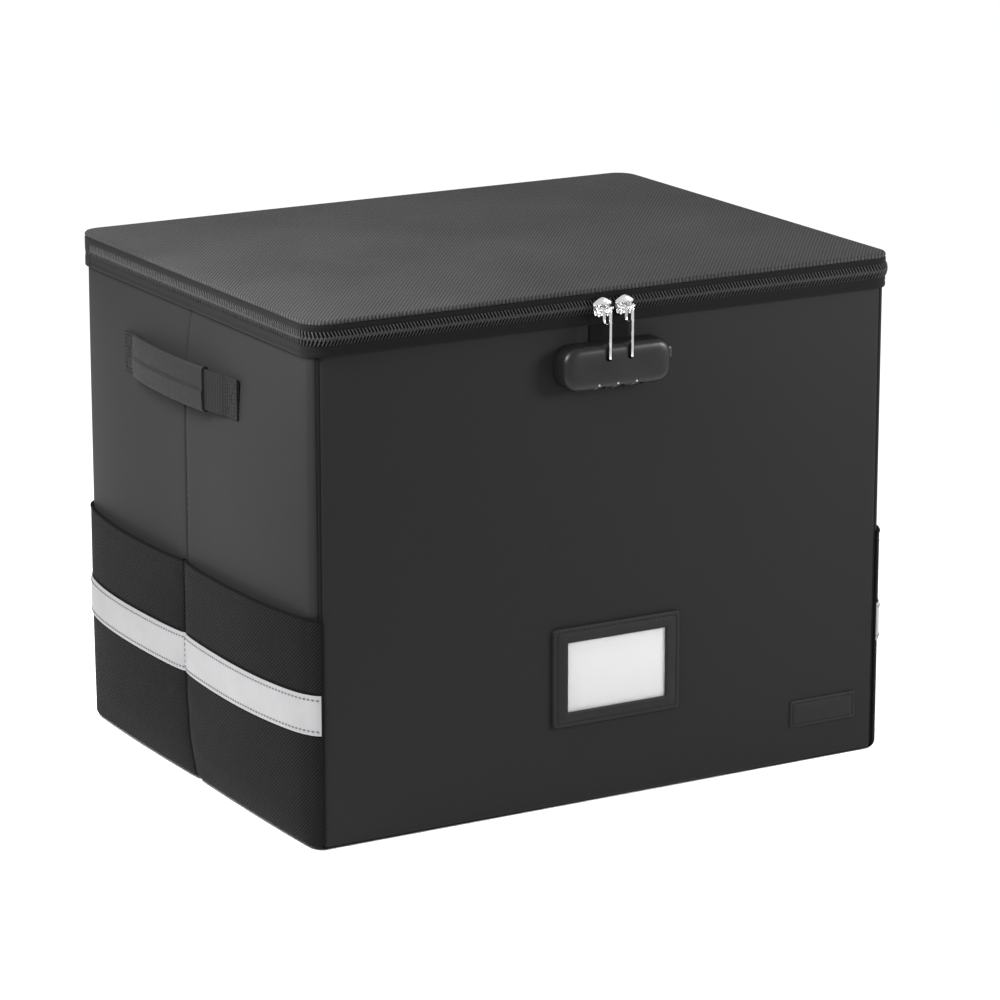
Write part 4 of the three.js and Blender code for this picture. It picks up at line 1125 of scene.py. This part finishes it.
# ---- Lock ---------------------------------------------------------------------------------------
# A moulded black case screwed through the front wall from a steel plate behind it. Three number
# wheels show in its underside, each under a pale index dot; a side button frees the zip pulls.
lock_low, lock_high = (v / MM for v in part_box("lock_case"))
LOCK_CX, LOCK_CZ = (lock_low.x + lock_high.x) / 2, (lock_low.z + lock_high.z) / 2
LOCK_HX, LOCK_HZ = (lock_high.x - lock_low.x) / 2, (lock_high.z - lock_low.z) / 2
LOCK_FACE = FRONT_Y - lock_low.y              # how far the case stands out of the wall
case_levels = [(0.5, 0.35), (0.0, 0.7), (0.0, LOCK_FACE - 4.6), (0.25, LOCK_FACE - 3.3),
               (0.85, LOCK_FACE - 2.2), (1.7, LOCK_FACE - 1.3), (2.8, LOCK_FACE - 0.65),
               (4.2, LOCK_FACE - 0.3), (6.2, LOCK_FACE - 0.12), (8.6, LOCK_FACE - 0.02)]


def moulded(name, colour, rough):
    """Moulded plastic: spark-eroded texture and faint flow marks."""
    finish, tree, shader = new_finish(name)
    place = put(tree, "ShaderNodeTexCoord")
    spark = put(tree, "ShaderNodeTexNoise", {"Vector": place.outputs["Object"], "Scale": 2600.0,
                                             "Detail": 3.0})
    flow = put(tree, "ShaderNodeTexNoise", {"Vector": place.outputs["Object"], "Scale": 45.0,
                                            "Detail": 3.0})
    tone = put(tree, "ShaderNodeValToRGB", {"Fac": flow.outputs["Fac"]})
    tone.color_ramp.elements[0].color = (*[c * 0.85 for c in colour], 1)
    tone.color_ramp.elements[1].color = (*[c * 1.15 for c in colour], 1)
    tree.links.new(tone.outputs["Color"], shader.inputs["Base Color"])
    gloss = put(tree, "ShaderNodeMapRange", {"Value": flow.outputs["Fac"], "From Min": 0.3,
                                             "From Max": 0.7, "To Min": rough - 0.05,
                                             "To Max": rough + 0.05})
    tree.links.new(gloss.outputs["Result"], shader.inputs["Roughness"])
    bump = put(tree, "ShaderNodeBump", {"Height": spark.outputs["Fac"], "Strength": 0.25,
                                        "Distance": 0.00005})
    tree.links.new(bump.outputs["Normal"], shader.inputs["Normal"])
    shader.inputs["Specular IOR Level"].default_value = 0.18
    return finish


def scratch_cutter(points, faces):
    """A throwaway solid for cutting pockets out of another."""
    mesh = bpy.data.meshes.new("cutter")
    mesh.from_pydata([(x * MM, y * MM, z * MM) for x, y, z in points], [], faces)
    shape = bmesh.new()
    shape.from_mesh(mesh)
    bmesh.ops.recalc_face_normals(shape, faces=shape.faces)
    shape.to_mesh(mesh)
    shape.free()
    cutter = bpy.data.objects.new("cutter", mesh)
    bpy.context.scene.collection.objects.link(cutter)
    return cutter


def cut_pockets(made, cutters):
    """Cuts the cutters out of a piece, keeps its edges crisp, and throws them away."""
    for cutter in cutters:
        cut = made.modifiers.new("cut", "BOOLEAN")
        cut.operation = "DIFFERENCE"
        cut.solver = "EXACT"
        cut.object = cutter
    bpy.context.view_layer.update()
    result = bpy.data.meshes.new_from_object(made.evaluated_get(bpy.context.evaluated_depsgraph_get()))
    made.modifiers.clear()
    shape = bmesh.new()
    shape.from_mesh(result)
    bmesh.ops.remove_doubles(shape, verts=shape.verts, dist=1e-7)
    for edge in shape.edges:
        edge.smooth = not (len(edge.link_faces) == 2 and edge.calc_face_angle(0) > math.radians(30))
    for face in shape.faces:
        face.smooth = True
    shape.to_mesh(result)
    shape.free()
    made.data = result
    for cutter in cutters:
        bpy.data.objects.remove(cutter)


lock_black = moulded("lock_black", (0.005, 0.005, 0.0052), 0.38)
points, faces = front_plate(LOCK_CX, LOCK_CZ, LOCK_HX, LOCK_HZ, 9.6, case_levels, step=5.0)
lock_body = piece("lock_body", points, faces, "box", lock_black, ("lock_case",))
cutters = []
PULL_SLOT_HALF = 2.3
pull_boxes = {label: [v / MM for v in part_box(f"pull_{label}")] for label in ("left", "right")}
for low, high in pull_boxes.values():
    cx = (low.x + high.x) / 2
    slot_path = rounded_path(PULL_SLOT_HALF, 12.0, PULL_SLOT_HALF - 0.05, step=99, arc=8)
    points, faces = plate_rings(lambda inset: slot_path, [(0, LOCK_FACE - 3.4), (0, LOCK_FACE + 3)])
    place = on_front(cx, low.z - 1.4 + 12.0)
    cutters.append(scratch_cutter([place(*p) for p in points], faces))
dial_boxes = [[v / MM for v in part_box(f"dial_{label}")] for label in ("left", "middle", "right")]
for low, high in dial_boxes:
    cx, cy, cz = (low.x + high.x) / 2, (low.y + high.y) / 2, (low.z + high.z) / 2
    half, reach = (high.x - low.x) / 2 + 0.7, (high.y - low.y) / 2 + 0.6
    points = [(cx + sx * half, cy + sy * reach, z) for z in (255, cz + reach)
              for sx, sy in ((-1, -1), (1, -1), (1, 1), (-1, 1))]
    faces = [(0, 1, 2, 3), (7, 6, 5, 4)] + [(i, (i + 1) % 4, (i + 1) % 4 + 4, i + 4) for i in range(4)]
    cutters.append(scratch_cutter(points, faces))
button_low, button_high = (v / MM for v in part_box("release_button"))
points = [(x, y, z) for x in (button_low.x - 4, 60)
          for y, z in ((button_low.y - 0.35, button_low.z - 0.35), (button_high.y + 0.35, button_low.z - 0.35),
                       (button_high.y + 0.35, button_high.z + 0.35), (button_low.y - 0.35, button_high.z + 0.35))]
faces = [(0, 1, 2, 3), (7, 6, 5, 4)] + [(i, (i + 1) % 4, (i + 1) % 4 + 4, i + 4) for i in range(4)]
cutters.append(scratch_cutter(points, faces))
cut_pockets(lock_body, cutters)

dial_black = moulded("dial_black", (0.016, 0.016, 0.017), 0.35)
index_white = moulded("index_white", (0.22, 0.22, 0.215), 0.45)
digit_grey = moulded("digit_grey", (0.12, 0.12, 0.118), 0.5)
TEETH = 10
for label, (low, high) in zip(("left", "middle", "right"), dial_boxes):
    cx, cy, cz = (low.x + high.x) / 2, (low.y + high.y) / 2, (low.z + high.z) / 2
    r = (high.z - low.z) / 2
    half = (high.x - low.x) / 2
    points, faces = [], []
    profile = [(-half, 1.7), (-half, r - 1.3), (-half + 0.5, r - 0.5), (-half + 1.0, r), (0, r),
               (half - 1.0, r), (half - 0.5, r - 0.5), (half, r - 1.3), (half, 1.7)]
    steps = TEETH * 8
    for i in range(steps):
        angle = 2 * math.pi * i / steps
        dip = 0.55 * max(0.0, math.cos(TEETH * angle)) ** 6
        for x, radius in profile:
            size = radius - (dip if radius > r - 1 else 0)
            points.append((cx + x, cy + size * math.cos(angle), cz + size * math.sin(angle)))
    rows = len(profile)
    for i in range(steps):
        for j in range(rows):
            a, b = i * rows, (i + 1) % steps * rows
            faces.append((a + j, a + (j + 1) % rows, b + (j + 1) % rows, b + j))
    piece(f"number_wheel_{label}", points, faces, f"dial_{label}", dial_black,
          (f"dial_{label}",))
    digits = []
    for number in range(TEETH):
        text = bpy.data.curves.new("digit", "FONT")
        text.body = str(number)
        text.size = 3.6 * MM
        text.align_x = "CENTER"
        text.align_y = "CENTER"
        text.extrude = 0.07 * MM
        drawn = bpy.data.objects.new("digit", text)
        bpy.context.scene.collection.objects.link(drawn)
        bpy.context.view_layer.update()
        flat = bpy.data.meshes.new_from_object(
            drawn.evaluated_get(bpy.context.evaluated_depsgraph_get()))
        angle = -math.pi / 2 + 2 * math.pi * number / TEETH
        turn = Matrix.Rotation(angle, 4, "X") @ Matrix.Translation((0, r * MM, 0)) \
            @ Matrix.Rotation(-math.pi / 2, 4, "X")
        flat.transform(Matrix.Translation((cx * MM, cy * MM, cz * MM)) @ turn)
        digits.append(([tuple(v.co / MM) for v in flat.vertices],
                       [tuple(p.vertices) for p in flat.polygons]))
        bpy.data.objects.remove(drawn)
    points, faces = joined(digits)
    piece(f"numbers_{label}", points, faces, f"dial_{label}", digit_grey)
dots = []
DOT_Z, DOT_Y, DOT_R = lock_low.z + 3.1, lock_low.y + 0.6, 0.75
for low, high in dial_boxes:
    cx = (low.x + high.x) / 2
    ring = [(cx + DOT_R * share * math.cos(math.pi / 6 * k), DOT_Y - lift,
             DOT_Z + DOT_R * share * math.sin(math.pi / 6 * k))
            for share, lift in ((1.0, -0.5), (1.0, 0.1), (0.75, 0.5), (0.35, 0.65)) for k in range(12)]
    faces = [(i * 12 + k, i * 12 + (k + 1) % 12, (i + 1) * 12 + (k + 1) % 12, (i + 1) * 12 + k)
             for i in range(3) for k in range(12)]
    faces += [tuple(range(12)), tuple(36 + k for k in range(12))]
    dots.append((ring, faces))
points, faces = joined(dots)
piece("index_dots", points, faces, "box", index_white)

button_half_y, button_half_z = ((button_high.y - button_low.y) / 2, (button_high.z - button_low.z) / 2)
points, faces = plate_rings(
    lambda inset: rounded_path(button_half_y, button_half_z, 1.7, step=99, arc=5, inset=inset),
    [(0.2, 0.0), (0.0, 0.3), (0.0, button_high.x - button_low.x - 1.3),
     (0.35, button_high.x - button_low.x - 0.5), (1.0, button_high.x - button_low.x - 0.1),
     (1.6, button_high.x - button_low.x)])
points = [(button_low.x + h, (button_low.y + button_high.y) / 2 + a, (button_low.z + button_high.z) / 2 + b)
          for a, b, h in points]
piece("side_button", points, faces, "latch", dial_black, ("release_button",))

# A thin black plate on the wall between the zip and the top of the case, in the tape's black: painted shade for
# the dark area there and for the shadows of the pulls.
SHADE_PLATE_X0, SHADE_PLATE_X1 = LOCK_CX - 13.0, LOCK_CX + 14.5
points, faces = front_plate((SHADE_PLATE_X0 + SHADE_PLATE_X1) / 2, (lock_high.z - 2 + tape_low_z0) / 2,
                            (SHADE_PLATE_X1 - SHADE_PLATE_X0) / 2, (tape_low_z0 + 2 - lock_high.z) / 2, 1.2,
                            [(0, 0.25), (0, 1.0), (0.3, 1.25), (1.2, 1.3)], step=4.0)
piece("lock_shade_plate", points, faces, "box", tape_black)

# ---- Zip sliders and pulls ----------------------------------------------------------------------
# Die-cast and bright plated: a shield-shaped slider with a bridge across its face, and a flat pull
# that hangs from the bridge edge-on, with an open eye at the top and a long narrow tongue.
bright_plate, tree, shader = new_finish("bright_plate")
place = put(tree, "ShaderNodeTexCoord")
cloud = put(tree, "ShaderNodeTexNoise", {"Vector": place.outputs["Object"], "Scale": 260.0,
                                         "Detail": 5.0})
haze = put(tree, "ShaderNodeMapRange", {"Value": cloud.outputs["Fac"], "From Min": 0.3,
                                        "From Max": 0.7, "To Min": 0.1, "To Max": 0.2})
tree.links.new(haze.outputs["Result"], shader.inputs["Roughness"])
ramp = put(tree, "ShaderNodeValToRGB", {"Fac": cloud.outputs["Fac"]})
ramp.color_ramp.elements[0].color = (0.50, 0.50, 0.51, 1)
ramp.color_ramp.elements[1].color = (0.66, 0.66, 0.67, 1)
tree.links.new(ramp.outputs["Color"], shader.inputs["Base Color"])
bump = put(tree, "ShaderNodeBump", {"Height": cloud.outputs["Fac"], "Strength": 0.12,
                                    "Distance": 0.0001})
tree.links.new(bump.outputs["Normal"], shader.inputs["Normal"])
shader.inputs["Metallic"].default_value = 1.0


def round_bar(line, radii, sides=12):
    """A bar of changing thickness along a line of points."""
    points, faces = [], []
    spots = [Vector(p) for p in line]
    across = None
    for i, spot in enumerate(spots):
        forward = (spots[min(i + 1, len(spots) - 1)] - spots[max(i - 1, 0)]).normalized()
        across = (across - forward * across.dot(forward)).normalized() if across else \
            forward.orthogonal().normalized()
        up = forward.cross(across)
        wide, tall = radii[i]
        for k in range(sides):
            angle = 2 * math.pi * k / sides
            points.append(tuple(spot + across * (wide * math.cos(angle)) + up * (tall * math.sin(angle))))
    for i in range(len(spots) - 1):
        for k in range(sides):
            a, b = i * sides, (i + 1) * sides
            faces.append((a + k, a + (k + 1) % sides, b + (k + 1) % sides, b + k))
    faces.append(tuple(range(sides)))
    faces.append(tuple((len(spots) - 1) * sides + k for k in range(sides)))
    return points, faces


def crown(inset):
    """The slider's upper half from the front: a peaked arch on a flat base, shrunk by an inset."""
    share = 1 - inset / 5.4
    outline = []
    for k in range(40):
        angle = 2 * math.pi * k / 40
        wide, tall = math.cos(angle), math.sin(angle)
        wide = math.copysign(abs(wide) ** 0.8, wide)
        rise = 3.2 * (1 - abs(wide) ** 1.5) if tall >= 0 else -1.7 * min(1.0, abs(tall) * 3) ** 0.5
        outline.append((6.5 * share * wide, 3.4 + share * rise))
    return outline


def shield(inset):
    """The slider's back plate from the front, narrower below."""
    outline = []
    for k in range(32):
        angle = 2 * math.pi * k / 32
        wide = (5.6 - inset) * math.copysign(abs(math.cos(angle)) ** 0.6, math.cos(angle))
        tall = (5.0 - inset) * math.copysign(abs(math.sin(angle)) ** 0.7, math.sin(angle))
        outline.append((wide * (1 - 0.14 * max(0.0, -math.sin(angle))), tall))
    return outline


def nub(cx, cy, cz, rx, ry, rz):
    """A small rounded lump of metal."""
    points = [(cx, cy, cz - rz)]
    for i in range(1, 8):
        lean = math.pi * i / 8
        points += [(cx + rx * math.sin(lean) * math.cos(math.pi / 6 * k),
                    cy + ry * math.sin(lean) * math.sin(math.pi / 6 * k), cz - rz * math.cos(lean))
                   for k in range(12)]
    points.append((cx, cy, cz + rz))
    faces = [(0, 1 + (k + 1) % 12, 1 + k) for k in range(12)]
    for i in range(6):
        a = 1 + i * 12
        faces += [(a + k, a + (k + 1) % 12, a + 12 + (k + 1) % 12, a + 12 + k) for k in range(12)]
    faces += [(73 + k, 73 + (k + 1) % 12, 85) for k in range(12)]
    return points, faces


swing = {j["child"]: j for j in frame["joints"]}
for label in ("left", "right"):
    slider_low, slider_high = (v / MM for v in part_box(f"slider_{label}"))
    pivot = Vector(swing[f"pull_{label}"]["pos_m"]) / MM
    cx = (slider_low.x + slider_high.x) / 2
    back = slider_high.y
    points, faces = plate_rings(shield, [(0.4, 0.0), (0.0, 0.3), (0.0, 0.7), (0.4, 1.0), (2.0, 1.1)])
    plate = ([(cx + a, back - h, pivot.z + b) for a, b, h in points], faces)
    points, faces = plate_rings(crown, [(0.5, 0.3), (0.1, 0.6), (0.0, 1.1), (0.1, 1.6), (0.5, 2.1),
                                        (1.3, 2.5), (2.5, 2.8), (4.0, 2.9)])
    arch = ([(cx + a, back - h, pivot.z + b) for a, b, h in points], faces)
    bridge_line = []
    for k in range(17):
        share = k / 8 - 1
        angle = share * math.radians(88)
        bridge_line.append((cx + 5.5 * math.sin(angle),
                            back - 0.8 - (back - 0.8 - pivot.y) * max(0.0, math.cos(angle)) ** 0.3,
                            pivot.z + 0.1))
    bridge = round_bar(bridge_line, [(0.95, 0.95)] * len(bridge_line))
    lobes = [nub(cx + side * x, back - 1.6, pivot.z + z, rx, 1.7, rz) for side in (-1, 1)
             for x, z, rx, rz in ((5.3, -2.8, 1.1, 1.9), (2.9, -3.4, 1.3, 2.3))]
    points, faces = joined([plate, arch, bridge] + lobes)
    slider = piece(f"zip_slider_{label}", points, faces, f"slider_{label}",
                   bright_plate, (f"slider_{label}",))

    pull_low, pull_high = pull_boxes[label]
    front_y = (pull_low.y + pivot.y - 4.2) / 2
    eye_mid, eye_half = (front_y + pivot.y + 2.2) / 2, (pivot.y + 2.2 - front_y) / 2
    eye_line = [(cx, eye_mid + eye_half * math.cos(math.pi * k / 10),
                 pivot.z - 0.6 + 2.0 * math.sin(math.pi * k / 10)) for k in range(11)]
    eye_size = [(1.0, 0.85)] * 11
    for height in (-3.0, -5.5, -7.5):
        eye_line.append((cx, front_y, pivot.z + height))
        eye_size.append((1.05, 0.8))
    link = [(0.25, -8.8, 0.5), (0.6, -9.0, 0.5), (0.85, -8.6, 0.6), (0.97, -7.6, 0.9), (1.0, -6.4, 1.0),
            (1.0, -4.4, 1.0), (1.0, -2.4, 0.95)]
    for share, height, thick in link:
        eye_line.append((cx, front_y + 2 * eye_half * share, pivot.z + height))
        eye_size.append((thick, thick * 0.9))
    sides = 10
    total = len(eye_line)
    ring_points, ring_faces = [], []
    for i, spot in enumerate(eye_line):
        forward = (Vector(eye_line[(i + 1) % total]) - Vector(eye_line[i - 1])).normalized()
        side = Vector((1, 0, 0))
        up = forward.cross(side)
        for k in range(sides):
            angle = 2 * math.pi * k / sides
            ring_points.append(tuple(Vector(spot) + side * (eye_size[i][0] * math.cos(angle))
                                     + up * (eye_size[i][1] * math.sin(angle))))
        for k in range(sides):
            a, b = i * sides, (i + 1) % total * sides
            ring_faces.append((a + k, a + (k + 1) % sides, b + (k + 1) % sides, b + k))
    tongue_line = [(cx, front_y, pivot.z - 6.0), (cx, front_y, pivot.z - 8.0)] + \
        [(cx, front_y, z) for z in heights(pull_low.z + 0.6, pivot.z - 10.0, 4.0)[::-1]] + \
        [(cx, front_y, pull_low.z + 0.15), (cx, front_y, pull_low.z)]
    tongue_size = [(0.6, 0.5)] + [(0.72, 0.9)] * (len(tongue_line) - 3) + [(0.6, 0.8), (0.3, 0.4)]
    points, faces = joined([(ring_points, ring_faces), round_bar(tongue_line, tongue_size)])
    piece(f"zip_pull_{label}", points, faces, f"pull_{label}", bright_plate,
          (f"pull_{label}",))

for name in ("lock_back_plate", "latch_bar", "dial_axle"):
    frame["nodes"][name].data.materials.clear()
    frame["nodes"][name].data.materials.append(bright_plate)
